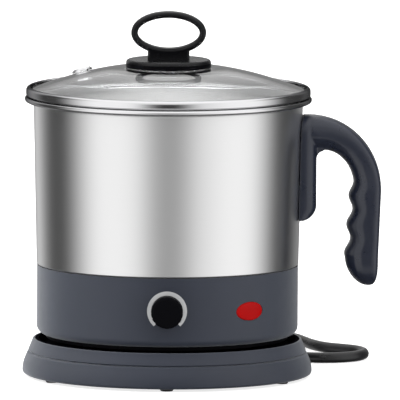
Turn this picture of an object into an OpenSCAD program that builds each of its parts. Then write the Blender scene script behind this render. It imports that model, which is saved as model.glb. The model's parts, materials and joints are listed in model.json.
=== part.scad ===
// Electric multi kettle: a steel pot with a glass lid on a heated body, which lifts off
// and turns on a round power base with a mains lead.
// The origin is on the pot's axis, in the plane that the feet stand on.
// The dial faces -Y, the handle points along +X and the lead leaves the base at +Y.

/* [Fits] */
// Gap between bodies that move on each other
run_gap = 0.3; // [0.2:0.05:0.5]
// Gap round a piece that is fixed in a hole or a recess
seat_gap = 0.15; // [0.1:0.05:0.3]
// Gap round the dial's shaft in its bush
shaft_gap = 0.05; // [0.02:0.01:0.1]

/* [Pot] */
// Inside diameter of the mouth
pot_mouth_d = 160; // [150:1:180]
// Height from the underside of the floor to the top of the rim
pot_h = 111; // [105:0.5:130]
// Thickness of the steel sheet
pot_wall = 0.6; // [0.5:0.1:1]
// How far the wall draws in between mouth and shell
pot_draft = 2.2; // [1:0.1:4]
// Radius of the bend from floor to wall
pot_bend_r = 7; // [4:0.5:9]
// How far the floor lies below the top of the shell
pot_sink = 10; // [9:0.5:13]
// Radius of the bead rolled into the rim
rim_bead_r = 1.6; // [1.2:0.1:2]
// Radius of the flare below the bead
rim_flare_r = 3; // [2:0.5:5]
// Flat stretch between the flare and the middle of the bead
rim_ledge = 0.8; // [0.4:0.1:2]

/* [Shell] */
// Height of the shell
shell_h = 41.5; // [38:0.5:52]
// Wall of the shell
shell_wall = 2.4; // [2:0.1:3]
// Radius of the lower outside corner
shell_corner_r = 5; // [3.5:0.5:8]
// How far the shell stands back from the steel above it
shell_inset = 0.2; // [0:0.1:1]
// Width of the flange under the shell
shell_flange_w = 20; // [18:1:22]
// Thickness of the seal between shell and pot
seal_t = 0.4; // [0.3:0.1:0.8]
// Radius of the posts under the pot that take the cover screws
post_r = 3.2; // [2.8:0.1:4]
// Distance of the posts from the shell's outside
post_inset = 15; // [14:0.5:16]

/* [Heater] */
// Radius of the heat plate under the pot
plate_r = 50; // [46:1:52]
// Thickness of the heat plate
plate_t = 4; // [3:0.5:5]
// Radius at which the element runs round
element_r = 42; // [38:1:45]
// Diameter of the element's tube
element_d = 7; // [6:0.5:8]
// Diameter of the safety cutout
cutout_d = 16; // [12:1:20]
// Height of the safety cutout
cutout_h = 5; // [4:0.5:7]

/* [Bottom cover] */
// Depth of the pan below the shell
pan_h = 6.7; // [6:0.1:9]
// Radius of the pan
pan_r = 54; // [50:1:56]
// Thickness of the cover
cover_t = 2.2; // [1.8:0.1:2.6]

/* [Power base] */
// Height of the feet
foot_h = 1.5; // [1:0.5:4]
// Diameter of the feet
foot_d = 8; // [6:0.5:10]
// Number of feet
foot_n = 6; // [4:1:8]
// Height of the base above its feet
base_h = 21; // [20:0.5:26]
// How far the lip of the base stands out beyond the shell
base_proud = 2.1; // [1:0.1:4]
// How far the skirt flares out below the lip
base_flare = 6.4; // [4:0.2:9]
// Radius of the bend at the foot of the skirt
skirt_bend_r = 17.8; // [14:0.2:20]
// Radius of the lower edge of the skirt
base_edge_r = 2; // [1:0.5:3]
// Wall of the base
base_wall = 2.2; // [1.8:0.1:2.6]
// Height of the lower moulding
tray_h = 13.1; // [12.3:0.1:13.7]
// Groove between the two mouldings
seam_gap = 0.4; // [0.3:0.1:0.8]
// Depth of the dish that the kettle stands in
dish_depth = 4; // [3:0.5:4.5]
// Width of the lip round the dish
lip_w = 3.3; // [2.5:0.1:4]
// Thickness of the dish's floor
dish_t = 2; // [1.6:0.1:2.4]
// Radius at which the base screws sit
base_screw_ring = 55; // [48:1:62]

/* [Coupler] */
// Radius of the tower on the base
tower_r = 16; // [15:0.5:18]
// Height of the tower above the dish
tower_h = 14.5; // [13:0.5:17]
// Wall of the kettle's half of the coupler
coupler_wall = 5.7; // [4:0.1:7]
// Radius of the centre pin
coupler_pin_r = 2.1; // [1.8:0.1:2.4]

/* [Dial] */
// Diameter of the knob
dial_d = 19; // [17:0.5:24]
// Depth of the knob
dial_depth = 9.6; // [8.5:0.1:13]
// Height of the dial's axis above the bottom of the shell
dial_up = 22; // [20:0.5:24]
// Diameter of the shaft
shaft_d = 6; // [5:0.5:6.5]
// Number of flutes round the knob
flute_n = 18; // [12:1:24]

/* [Pilot lamp] */
// Width of the lens
lens_w = 20; // [16:0.5:24]
// Height of the lens
lens_h = 11; // [9:0.5:14]
// How far round from the dial the lens sits, in degrees
lens_turn = 39.2; // [34:0.2:60]
// How far the middle of the lens lies below that of the dial
lens_drop = 1.6; // [0:0.1:4]
// How far the middle of the lens stands out of the shell
lens_proud = 1.2; // [0.6:0.1:2]

/* [Handle] */
// Distance of the handle's top below the rim
handle_drop = 10.4; // [10:0.2:18]
// How far the handle reaches out from the pot
handle_reach = 47.1; // [44:0.1:60]
// Height of the handle
handle_h = 102.6; // [96:0.2:112]
// Thickness of the arm at its root
arm_t = 21.3; // [18:0.1:24]
// Thickness of the grip at its finger grooves
grip_t = 16.5; // [14:0.1:20]
// Width of the grip
grip_w = 25; // [20:0.5:30]
// Spacing of the finger grooves
finger_pitch = 17.4; // [15:0.2:20]
// Depth of the finger grooves
finger_depth = 3.4; // [1:0.1:5]
// Height of the pad against the pot
pad_h = 63; // [56:1:70]
// Thickness of the pad
pad_t = 8.3; // [8:0.1:11]
// Width of the pad
pad_w = 27; // [24:0.5:34]

/* [Lid] */
// Thickness of the glass
glass_t = 3.6; // [3:0.1:5]
// Rise of the dome over its flat edge
glass_rise = 14.3; // [8:0.1:17]
// Width of the flat edge round the dome
glass_flat = 8.4; // [7:0.2:12]
// Thickness of the rim band's steel
band_t = 0.6; // [0.4:0.1:0.8]
// Depth of the band's skirt inside the mouth
band_skirt = 5.5; // [3:0.5:9]
// Distance of the vent from the middle of the lid
vent_r = 55; // [40:1:62]
// Outside diameter of the vent eyelet
vent_d = 12; // [9:0.5:14]

/* [Lid knob] */
// Diameter of the knob's foot
knob_foot_d = 51; // [44:1:60]
// Thickness of the knob's foot
knob_foot_t = 4; // [3.5:0.1:6]
// Width of the neck under the loop
knob_neck_w = 25; // [20:0.5:28]
// Height of the neck up to the loop
knob_neck_h = 2.9; // [2.4:0.1:8]
// Outside width of the loop
loop_w = 45; // [40:0.5:54]
// Outside height of the loop
loop_h = 26; // [22:0.5:34]
// Thickness of the loop
loop_t = 4.1; // [3.5:0.1:5]
// Depth of the loop and its neck
loop_depth = 9.5; // [7:0.1:12]

/* [Lead] */
// Diameter of the lead
cord_d = 6.5; // [6:0.1:6.8]
// Radius of the outer turns, to the middle of the lead
coil_r = 40; // [38:0.5:42]

/* [Hidden] */
$fn = 96;

// Colours
plastic_c = [0.26, 0.28, 0.33];
black_c = [0.08, 0.08, 0.09];
rubber_c = [0.13, 0.13, 0.14];
steel_c = [0.78, 0.78, 0.78];
zinc_c = [0.65, 0.66, 0.68];
brass_c = [0.80, 0.66, 0.34];
alu_c = [0.72, 0.73, 0.75];
red_c = [0.75, 0.08, 0.08];
glass_c = [0.82, 0.88, 0.90, 0.4];

// Radii of the pot and of what follows from it
mouth_r = pot_mouth_d / 2;
wall_top_r = mouth_r + pot_wall;
wall_low_r = wall_top_r - pot_draft;
bead_ring_r = wall_top_r + rim_flare_r + rim_ledge;
rim_r = bead_ring_r + rim_bead_r;
shell_r = wall_low_r - shell_inset;
shell_in_r = shell_r - shell_wall;
pot_low_r = shell_in_r - seal_t - 2 * seat_gap;
base_top_r = shell_r + base_proud;
base_bottom_r = base_top_r + base_flare;
post_ring_r = shell_r - post_inset;

// Heights, from the floor up
lip_z = foot_h + base_h;
dish_z = lip_z - dish_depth;
dish_under = dish_z - dish_t;
tray_top = foot_h + tray_h;
cover_low = tray_top + seam_gap;
kettle_z = dish_z + run_gap;
shell_z = kettle_z + pan_h;
shell_top = shell_z + shell_h;
shoulder_z = shell_top + seal_t;
pot_z = shell_top - pot_sink;
plate_z = pot_z - plate_t;
rim_top = pot_z + pot_h;
bead_z = rim_top - rim_bead_r;
flare_z = bead_z - pot_wall / 2 - rim_flare_r;
lid_z = rim_top + run_gap;
dial_z = shell_z + dial_up;

// Points of an arc about c
function arc(c, r, from, to, n = 8) =
    [for (k = [0:n]) let (a = from + (to - from) * k / n) c + r * [cos(a), sin(a)]];

// Outline of a box with round corners, centred
function round_box(w, h, r) = [
    for (q = [0:3])
        for (p = arc([(q == 0 || q == 3 ? 1 : -1) * (w / 2 - r), (q < 2 ? 1 : -1) * (h / 2 - r)],
            r, 90 * q, 90 * q + 90, 6)) p
];

// Outline of an ellipse
function ellipse(w, h, n = 40) =
    [for (k = [0:n - 1]) [w / 2 * cos(360 * k / n), h / 2 * sin(360 * k / n)]];

// Power of a sine or cosine that squares off a round section
function squared(x, e = 2.6) = sign(x) * pow(abs(x), 2 / e);

// Copies turned about the axis
module ring_of(n, r, turn = 0) {
    for (k = [0:n - 1]) rotate(turn + 360 * k / n) translate([r, 0, 0]) children();
}

// Skin over rings of points, with flat ends or closed into a loop
module skin(rings, closed = false) {
    m = len(rings);
    n = len(rings[0]);
    sides = [
        for (i = [0:m - (closed ? 1 : 2)]) for (k = [0:n - 1])
            let (a = i * n, b = ((i + 1) % m) * n, l = (k + 1) % n)
                each [[a + k, b + l, b + k], [a + k, a + l, b + l]]
    ];
    last = (m - 1) * n;
    ends = closed ? [] : [
        for (k = [1:n - 2]) each [[0, k + 1, k], [last, last + k, last + k + 1]]
    ];
    polyhedron([for (r = rings) each r], concat(sides, ends));
}

// Round tube along a line of points
function heading(p, i) =
    let (v = p[min(i + 1, len(p) - 1)] - p[max(i - 1, 0)]) v / norm(v);
function tube_rings(p, d, n) = [
    for (i = [0:len(p) - 1])
        let (t = heading(p, i), s = cross(t, [0, 0, 1]), u = s / norm(s), v = cross(u, t))
            [for (k = [0:n - 1]) p[i] + d / 2 * (u * cos(360 * k / n) + v * sin(360 * k / n))]
];
module tube(p, d, n) {
    skin(tube_rings(p, d, n));
}

// Screw that points up, with its head's seat at z = 0
module screw(shank_r, shank_l, head_r, head_h) {
    difference() {
        union() {
            cylinder(r = shank_r, h = shank_l);
            translate([0, 0, -head_h]) cylinder(r = head_r, h = head_h);
        }
        for (a = [0, 90]) rotate(a) translate([0, 0, -head_h])
            cube([head_r * 1.2, head_r * 0.24, head_h * 0.9], center = true);
    }
}

// Outside of the power base: a straight skirt that bends to upright at its foot
skirt_c = [base_bottom_r - skirt_bend_r, foot_h + base_edge_r];
skirt_to_lip = [base_top_r, lip_z] - skirt_c;
skirt_a = atan2(skirt_to_lip[1], skirt_to_lip[0]) - acos(skirt_bend_r / norm(skirt_to_lip));
skirt_bend_top = skirt_c[1] + skirt_bend_r * sin(skirt_a);
function skirt_r(z) = z > skirt_bend_top
    ? base_top_r + (lip_z - z) * tan(skirt_a)
    : skirt_c[0] + sqrt(pow(skirt_bend_r, 2) - pow(z - skirt_c[1], 2));

groove_w = 0.6;
tray_floor = foot_h + base_wall;
tongue_top = dish_under - seat_gap;
tongue_r = skirt_r(tongue_top) - base_wall - seat_gap;
foot_ring_r = base_bottom_r - base_edge_r - foot_d / 2 - 1.7;
peg_r = foot_d * 0.22;

// Screw pockets in the tray and bosses under the cover
base_shank_r = 1.4;
base_head_r = 3.2;
pocket_h = 5;
pocket_sink = 3;
boss_r = 4;

// Lower half of the coupler
coupler_seat = dish_under - 3;
coupler_flange_r = tower_r + 5;
tower_top = dish_z + tower_h;
slot_in = tower_r * 0.5;
slot_out = tower_r * 0.72;
slot_z = coupler_seat + 2;
sleeve_r = coupler_pin_r + 0.4;
sleeve_t = 0.8;
contact_t = 0.8;

// Lead: where it leaves the base, and the heights that it lies at
relief_r = 4.4;
relief_y = base_bottom_r - 12;
relief_end_r = 3.7;
exit_z = 9.4;
floor_z = 3.3;
coil_z = 4.6;
coil_c = [-32, 189];
coil_pitch = cord_d + 0.7;
plug_z = 18;
// Coil: two layers, wound clockwise, that spiral in and out again and climb where they turn
coil_from = -25;
coil_to = 90;
coil_turns = 3 + (coil_from - coil_to + 360) / 360;
coil_half = coil_turns / 2;
coil_ring_n = round(coil_turns * 24);
function coil_angle(t) = coil_from - 360 * t;
function coil_heading(t) = [sin(coil_angle(t)), -cos(coil_angle(t)), 0];
function coil_radius(t) = coil_r - coil_pitch * (coil_half - abs(t - coil_half));
function coil_point(t) =
    let (up = min(1, max(0, (t - coil_half) * 2 + 0.5)))
    [
        coil_c[0] + coil_radius(t) * cos(coil_angle(t)),
        coil_c[1] + coil_radius(t) * sin(coil_angle(t)),
        coil_z + coil_pitch * up
    ];
coil_line = concat(
    [coil_point(0) - cord_d * coil_heading(0)],
    [for (k = [0:coil_ring_n]) coil_point(coil_turns * k / coil_ring_n)],
    [coil_point(coil_turns) + cord_d * coil_heading(coil_turns)]
);
coil_gap = min([
    for (i = [0:len(coil_line) - 1]) for (k = [i + 8:1:len(coil_line) - 1])
        norm(coil_line[i] - coil_line[k])
]) - cord_d;
echo(coil_gap_mm = coil_gap);

// Points that the free stretch and the tail run through
cord_route = [
    [0, 112, exit_z], [0, 119, exit_z], [0, 130, 7.4], [0, 142, 4.6], [3.5, 155, 3.5],
    [13, 164.5, floor_z], [26, 168, floor_z], [39, 164.5, floor_z], [48.5, 155, floor_z],
    [52, 142, floor_z], [52, 125, floor_z], [52, 108, floor_z], [54.5, 93.5, floor_z],
    [61.5, 81, floor_z], [72, 72.5, floor_z], [84.5, 66, floor_z], [96.5, 64, floor_z],
    [108.5, 68.5, floor_z], [116.5, 78, floor_z], [118.5, 90, floor_z], [114.5, 101.5, floor_z],
    [106.5, 109, floor_z], [96.5, 117, floor_z], [89, 129.5, floor_z], [84, 144, floor_z],
    [79, 159, floor_z], [71.5, 173, floor_z], [61, 185.5, floor_z], [48, 194.5, floor_z],
    [33, 198.5, floor_z], [22, 196, 3.6], [14.5, 190.8, 4.2], [9.5, 183.4, coil_z], coil_line[0]
];
tail_route = [
    coil_line[len(coil_line) - 1], [-19.5, 229, coil_z + coil_pitch], [-13, 229, 13.2], [-6.5, 229, 15.6],
    [-0.5, 229, 17.5], [3, 229, plug_z], [6, 229, plug_z]
];
plug_at = tail_route[len(tail_route) - 1];

// Power base

module base_tray() {
    wall_low = foot_h + base_edge_r;
    wall_high = tray_top - groove_w;
    outline = concat(
        [[0, foot_h]],
        arc([base_bottom_r - base_edge_r, wall_low], base_edge_r, -90, 0, 6),
        [for (k = [1:6]) let (z = wall_low + (wall_high - wall_low) * k / 6) [skirt_r(z), z]],
        [
            [skirt_r(tray_top) - groove_w, tray_top], [tongue_r, tray_top], [tongue_r, tongue_top],
            [tongue_r - base_wall, tongue_top], [tongue_r - base_wall, tray_top - 2 * base_wall],
            [skirt_r(tray_floor) - 2 * base_wall, tray_floor], [0, tray_floor]
        ]
    );
    color(plastic_c) difference() {
        union() {
            rotate_extrude() polygon(outline);
            ring_of(4, base_screw_ring, 45) translate([0, 0, foot_h])
                cylinder(r = base_head_r + 2, h = pocket_h);
            translate([0, 0, tray_floor - 0.5]) difference() {
                cylinder(r = coupler_flange_r, h = coupler_seat - tray_floor + 0.5);
                translate([0, 0, 0.5]) cylinder(r = coupler_flange_r - 3, h = coupler_seat);
            }
        }
        ring_of(4, base_screw_ring, 45) translate([0, 0, foot_h]) {
            translate([0, 0, -1]) cylinder(r = base_head_r + 2 * seat_gap, h = pocket_sink + 1);
            cylinder(r = base_shank_r + 2 * seat_gap, h = pocket_h + 1);
        }
        ring_of(foot_n, foot_ring_r, -90) translate([0, 0, foot_h - 1])
            cylinder(r = peg_r + seat_gap, h = base_wall + 2);
        translate([0, relief_y - 1, exit_z]) rotate([-90, 0, 0])
            cylinder(r = relief_r + seat_gap, h = base_flare + 20);
    }
}

module base_cover() {
    lip_edge_r = 0.8;
    lip_in_r = base_top_r - lip_w;
    outline = concat(
        [
            [skirt_r(cover_low) - base_wall, cover_low], [skirt_r(cover_low) - groove_w, cover_low],
            [skirt_r(cover_low + groove_w), cover_low + groove_w]
        ],
        arc([skirt_r(lip_z - lip_edge_r) - lip_edge_r, lip_z - lip_edge_r], lip_edge_r, 0, 90, 4),
        [
            [lip_in_r, lip_z], [lip_in_r - 2.5, dish_z], [tower_r + seat_gap, dish_z],
            [tower_r + seat_gap, dish_under], [skirt_r(dish_under) - base_wall, dish_under]
        ]
    );
    boss_low = foot_h + pocket_h;
    color(plastic_c) difference() {
        union() {
            rotate_extrude() polygon(outline);
            ring_of(4, base_screw_ring, 45) translate([0, 0, boss_low])
                cylinder(r = boss_r, h = dish_under - boss_low + 0.5);
        }
        ring_of(4, base_screw_ring, 45) translate([0, 0, boss_low - 1])
            cylinder(r = base_shank_r + seat_gap, h = dish_under - boss_low + 1);
    }
}

module base_feet() {
    foot_r = foot_d / 2;
    color(rubber_c) ring_of(foot_n, foot_ring_r, -90) rotate_extrude() polygon([
        [0, 0], [foot_r - 0.6, 0], [foot_r, 0.6], [foot_r, foot_h], [peg_r, foot_h],
        [peg_r, tray_floor], [0, tray_floor]
    ]);
}

module base_screws() {
    color(zinc_c) ring_of(4, base_screw_ring, 45) translate([0, 0, foot_h + pocket_sink])
        screw(base_shank_r, dish_under - foot_h - pocket_sink - 1, base_head_r, 2.2);
}

module base_coupler() {
    edge = 1;
    bore = sleeve_r + sleeve_t + seat_gap;
    color(black_c) rotate_extrude() polygon([
        [0, coupler_seat], [coupler_flange_r, coupler_seat], [coupler_flange_r, dish_under],
        [tower_r, dish_under], [tower_r, tower_top - edge], [tower_r - edge, tower_top],
        [slot_out, tower_top], [slot_out, slot_z], [slot_in, slot_z], [slot_in, tower_top],
        [bore, tower_top], [bore, slot_z], [0, slot_z]
    ]);
}

module base_contacts() {
    color(brass_c) {
        rotate_extrude() translate([sleeve_r, slot_z]) square([sleeve_t, tower_top - slot_z - 2]);
        rotate_extrude() translate([slot_in + seat_gap, slot_z])
            square([contact_t, tower_top - slot_z - 2]);
    }
}

module strain_relief() {
    flange_r = relief_r + 0.6;
    grip_y = cord_route[0][1];
    taper_y = base_bottom_r + 5;
    rib_n = 4;
    rib_step = (grip_y - taper_y) / (rib_n + 0.5);
    color(black_c) translate([0, 0, exit_z]) rotate([-90, 0, 0]) difference() {
        rotate_extrude() polygon([
            [0, relief_y - 5], [flange_r, relief_y - 5], [flange_r, relief_y - 2],
            [relief_r, relief_y - 2], [relief_r, taper_y], [relief_end_r, grip_y], [0, grip_y]
        ]);
        for (k = [0:rib_n - 1]) translate([0, 0, taper_y + rib_step * (k + 0.5)])
            rotate_extrude() translate([relief_end_r - 0.2, 0]) square([2, rib_step / 2]);
    }
}

// Lead

module cord_lead() {
    color(black_c) tube(cord_route, cord_d, 10);
}

module cord_coil() {
    color(black_c) tube(coil_line, cord_d, 6);
}

module cord_tail() {
    color(black_c) tube(tail_route, cord_d, 10);
}

// Strap round the coil, where its turns lie squarely on each other
module cord_tie() {
    at_turn = coil_half - floor(coil_half * 2) / 2;
    tie_t = 0.6;
    tie_w = 8;
    slack = 1.2;
    mid = coil_radius(at_turn) - coil_pitch / 2;
    w = coil_pitch + cord_d + slack;
    color(rubber_c) translate([coil_c[0], coil_c[1], coil_z + coil_pitch / 2])
        rotate(coil_angle(at_turn))
        translate([mid, tie_w / 2, 0]) rotate([90, 0, 0]) linear_extrude(tie_w) difference() {
            polygon(round_box(w + 2 * tie_t, w + 2 * tie_t, 3.6 + tie_t));
            polygon(round_box(w, w, 3.6));
        }
}

plug_l = 38;
pin_gauge = 19.05;
pin_rise = 22.2;
live_pin = [2.54, 14.9];
earth_pin = [3.53, 20.6];
pin_low = -9;

module plug_body() {
    corner_r = 8.6;
    face_l = 17;
    color(black_c) translate(plug_at) rotate([90, 0, 90]) hull() {
        translate([0, 0, plug_l - face_l]) linear_extrude(face_l) hull() {
            for (x = [-1, 1]) translate([x * pin_gauge / 2, pin_low]) circle(r = corner_r, $fn = 32);
            translate([0, pin_low + pin_rise - 1]) circle(r = corner_r, $fn = 32);
        }
        cylinder(r = cord_d / 2 + 2.5, h = 6, $fn = 32);
    }
}

module plug_pin(size) {
    tip = 1;
    cylinder(r = size[0], h = size[1] - tip);
    translate([0, 0, size[1] - tip]) cylinder(r1 = size[0], r2 = size[0] - tip, h = tip);
}

module plug_pins() {
    color(brass_c) translate(plug_at) rotate([90, 0, 90]) translate([0, 0, plug_l]) {
        for (x = [-1, 1]) translate([x * pin_gauge / 2, pin_low]) plug_pin(live_pin);
        translate([0, pin_low + pin_rise]) plug_pin(earth_pin);
    }
}

// Kettle's half of the coupler

socket_r = tower_r + run_gap;
socket_top = tower_top + 0.6;
coupler_r = socket_r + coupler_wall;
coupler_roof = 4;

module kettle_coupler() {
    ear_z = kettle_z + cover_t + run_gap;
    ear_r = coupler_r + 4;
    color(black_c) rotate_extrude() polygon([
        [socket_r, kettle_z + 0.2], [coupler_r, kettle_z + 0.2], [coupler_r, ear_z], [ear_r, ear_z],
        [ear_r, ear_z + 2], [coupler_r, ear_z + 2], [coupler_r, socket_top + coupler_roof],
        [0, socket_top + coupler_roof], [0, socket_top], [socket_r, socket_top]
    ]);
}

module coupler_contacts() {
    reach = tower_h - 3;
    ring_in = slot_in + seat_gap + contact_t + 0.4;
    color(brass_c) {
        translate([0, 0, socket_top - reach]) cylinder(r = coupler_pin_r, h = reach);
        rotate_extrude() translate([ring_in, socket_top - reach]) square([contact_t, reach]);
    }
}

// Pot and heater

module pot() {
    bead_a = asin(pot_wall / 2 / rim_bead_r);
    outside = concat(
        [[0, pot_z]],
        arc([pot_low_r - pot_bend_r, pot_z + pot_bend_r], pot_bend_r, -90, 0),
        [[pot_low_r, shoulder_z], [wall_low_r, shoulder_z]],
        arc([wall_top_r + rim_flare_r, flare_z], rim_flare_r, 180, 90),
        arc([bead_ring_r, bead_z], rim_bead_r, 180 + bead_a, 540 - bead_a, 24)
    );
    inside = concat(
        arc([wall_top_r + rim_flare_r, flare_z], rim_flare_r + pot_wall, 90, 180),
        [
            [wall_low_r - pot_wall, shoulder_z + 2 * pot_wall],
            [wall_low_r - 2 * pot_wall, shoulder_z + pot_wall],
            [pot_low_r - pot_wall, shoulder_z + pot_wall]
        ],
        arc([pot_low_r - pot_bend_r, pot_z + pot_bend_r], pot_bend_r - pot_wall, 0, -90),
        [[0, pot_z + pot_wall]]
    );
    color(steel_c) difference() {
        union() {
            rotate_extrude() polygon(concat(outside, inside));
            ring_of(3, post_ring_r) translate([0, 0, flange_top])
                cylinder(r = post_r, h = pot_z + pot_wall / 2 - flange_top);
        }
        ring_of(3, post_ring_r) translate([0, 0, flange_top - 1])
            cylinder(r = cover_shank_r + seat_gap, h = cover_screw_grip + 2);
    }
}

// Outside of the pot's wall, with a gap round it
module wall_outside(gap) {
    translate([0, 0, shoulder_z])
        cylinder(r1 = wall_low_r + gap, r2 = wall_top_r + gap, h = flare_z - shoulder_z);
}

module heat_plate() {
    color(alu_c) rotate_extrude() polygon([
        [0, plate_z], [plate_r - 1, plate_z], [plate_r, plate_z + 1], [plate_r, pot_z], [0, pot_z]
    ]);
}

module heating_element() {
    tube_r = element_d / 2;
    tube_z = plate_z - tube_r - seat_gap;
    open_a = 50;
    sleeve_l = 15;
    pin_l = 7;
    color(zinc_c) translate([0, 0, tube_z]) {
        rotate(-90 + open_a / 2) rotate_extrude(angle = 360 - open_a) translate([element_r, 0])
            circle(tube_r);
        for (side = [-1, 1]) rotate(-90 + side * open_a / 2) translate([element_r, 0, 0]) {
            translate([0, 0, tube_r - 0.4 - sleeve_l]) cylinder(r = tube_r * 1.2, h = sleeve_l);
            translate([0, 0, -sleeve_l - pin_l]) cylinder(r = tube_r / 2, h = pin_l + tube_r);
        }
    }
}

module safety_cutout() {
    tab_l = 8;
    color(black_c) union() {
        translate([0, 0, plate_z - cutout_h]) cylinder(d = cutout_d, h = cutout_h);
        for (x = [-1, 1]) translate([x * cutout_d * 0.3 - 0.4, -2.5, plate_z - cutout_h - tab_l])
            cube([0.8, 5, tab_l + 1]);
    }
}

// Shell, bottom cover and what they carry

flange_top = shell_z + shell_wall;
flange_in_r = shell_r - shell_flange_w;
cover_shank_r = 1.4;
cover_head_r = 2.8;
cover_screw_grip = 14;
bush_r = shaft_d / 2 + 1.5;
spot_r = bush_r + 3.6;
spot_y = shell_r + 0.3;
thermostat_y = shell_in_r - 2.3;
nut_t = 2.2;
bush_end = spot_y + nut_t + 0.3;
knob_back = spot_y + run_gap;
knob_face = knob_back + dial_depth;
shaft_end = knob_face - 2;
shaft_root = thermostat_y - 15;

// Place on the front, with local z pointing out of the dial
module at_dial(y) {
    translate([0, -y, dial_z]) rotate([90, 0, 0]) children();
}

// Place on the lens's axis, with local z pointing outwards
module at_lens(r) {
    rotate(-90 + lens_turn) translate([r, 0, dial_z - lens_drop]) rotate([90, 0, 90]) children();
}

module body_shell() {
    corner = [shell_r - shell_corner_r, shell_z + shell_corner_r];
    outline = concat(
        [[flange_in_r, shell_z]], arc(corner, shell_corner_r, -90, 0),
        [[shell_r, shell_top], [shell_in_r, shell_top]],
        arc(corner, shell_corner_r - shell_wall, 0, -90), [[flange_in_r, flange_top]]
    );
    color(plastic_c) difference() {
        union() {
            rotate_extrude() polygon(outline);
            at_dial(thermostat_y) cylinder(r = spot_r, h = spot_y - thermostat_y);
        }
        at_dial(thermostat_y - 1) cylinder(r = bush_r + seat_gap, h = spot_y - thermostat_y + 2);
        at_lens(shell_in_r - 5) linear_extrude(shell_wall + 10)
            polygon(ellipse(lens_w + 2 * seat_gap, lens_h + 2 * seat_gap));
        ring_of(3, post_ring_r) translate([0, 0, shell_z - 1])
            cylinder(r = cover_shank_r + 2 * seat_gap, h = shell_wall + 2);
    }
}

module shell_seal() {
    skirt = min(pot_sink - pot_bend_r, 3);
    color(rubber_c) rotate_extrude() polygon([
        [pot_low_r + seat_gap, shell_top - skirt], [pot_low_r + seat_gap + seal_t, shell_top - skirt],
        [pot_low_r + seat_gap + seal_t, shell_top], [shell_r - 0.3, shell_top],
        [shell_r - 0.3, shoulder_z], [pot_low_r + seat_gap, shoulder_z]
    ]);
}

module bottom_cover() {
    flange_r = shell_r - shell_corner_r - 0.7;
    flange_z = shell_z - cover_t;
    edge = 1.2;
    hole_r = coupler_r + run_gap;
    color(black_c) difference() {
        rotate_extrude() polygon([
            [hole_r, kettle_z], [pan_r - edge, kettle_z], [pan_r, kettle_z + edge], [pan_r, flange_z],
            [flange_r, flange_z], [flange_r, shell_z], [pan_r - cover_t, shell_z],
            [pan_r - cover_t, kettle_z + cover_t], [hole_r, kettle_z + cover_t]
        ]);
        ring_of(3, post_ring_r) translate([0, 0, flange_z - 1])
            cylinder(r = cover_shank_r + 2 * seat_gap, h = cover_t + 2);
    }
}

module cover_screws() {
    color(zinc_c) ring_of(3, post_ring_r) translate([0, 0, shell_z - cover_t])
        screw(cover_shank_r, cover_t + shell_wall + cover_screw_grip, cover_head_r, 1.8);
}

module thermostat() {
    w = 30;
    h = 16;
    d = 18;
    tab = [0.8, 6, 5];
    color(black_c) difference() {
        union() {
            at_dial(thermostat_y - d) translate([-w / 2, -h / 2, 0]) cube([w, h, d]);
            at_dial(thermostat_y - 1) cylinder(r = bush_r, h = bush_end - thermostat_y + 1);
            for (x = [-1, 1])
                translate([x * w / 3, d / 2 - thermostat_y, dial_z - h / 2 - tab[2] / 2 + 0.5])
                    cube(tab, center = true);
        }
        at_dial(shaft_root - 0.5) cylinder(d = shaft_d + 2 * shaft_gap, h = bush_end - shaft_root + 1);
    }
}

module thermostat_nut() {
    color(zinc_c) at_dial(spot_y) difference() {
        cylinder(r = bush_r + 2, h = nut_t, $fn = 6);
        translate([0, 0, -1]) cylinder(r = bush_r + seat_gap, h = nut_t + 2);
    }
}

lens_flange = 1.5;
lens_flange_front = sqrt(pow(shell_in_r, 2) - pow(lens_w / 2 + lens_flange, 2)) - seat_gap;
lens_flange_t = 1.6;
lens_back = lens_flange_front - lens_flange_t;

module pilot_lens() {
    dome_r = 30;
    dome_c = shell_r + lens_proud - dome_r;
    color(red_c) union() {
        intersection() {
            at_lens(lens_back + 0.5) linear_extrude(shell_wall + 20) polygon(ellipse(lens_w, lens_h));
            at_lens(dome_c) sphere(dome_r);
        }
        at_lens(lens_back) linear_extrude(lens_flange_t)
            polygon(ellipse(lens_w + 2 * lens_flange, lens_h + 2 * lens_flange));
    }
}

module pilot_lamp() {
    body_l = 9;
    lead_l = 5;
    color(alu_c) union() {
        at_lens(lens_back - body_l) cylinder(d = lens_h * 0.8, h = body_l);
        for (x = [-1, 1]) at_lens(lens_back - body_l - lead_l) translate([x * lens_h * 0.2, 0, 0])
            cylinder(r = 0.6, h = lead_l + 1);
    }
}

// Dial

module dial_knob() {
    r = dial_d / 2;
    edge = 1.6;
    hollow = bush_end + run_gap - knob_back;
    flute_r = 1;
    flute_depth = 0.25;
    color(black_c) at_dial(knob_back) difference() {
        rotate_extrude() polygon(concat(
            [[0, hollow], [bush_r + 2.4, hollow], [bush_r + 2.4, 0], [r, 0]],
            arc([r - edge, dial_depth - edge], edge, 0, 90, 6), [[0, dial_depth - 0.3]]
        ));
        translate([0, 0, hollow - 1])
            cylinder(d = shaft_d + 2 * seat_gap, h = shaft_end - knob_back - hollow + 1 + seat_gap);
        ring_of(flute_n, r + flute_r - flute_depth) translate([0, 0, 1.5])
            cylinder(r = flute_r, h = dial_depth, $fn = 24);
    }
}

module thermostat_shaft() {
    color(zinc_c) at_dial(shaft_root) cylinder(d = shaft_d, h = shaft_end - shaft_root);
}

// Handle

handle_top = rim_top - handle_drop;
handle_low = handle_top - handle_h;
pad_x = wall_top_r + pad_t;
pad_low = handle_top - pad_h;
grip_x = wall_top_r + handle_reach;
bend_h = 45.3;
bend_z = handle_top - bend_h;
arm_low = handle_top - arm_t;
outer_c = [wall_top_r + 3.4, bend_z];
inner_c = [wall_top_r + 12.4, bend_z + 2];
tip_z = handle_low + 17;
tip_x = grip_x - 8.2;
arm_n = 10;
grip_n = 22;
tip_n = 8;

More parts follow.
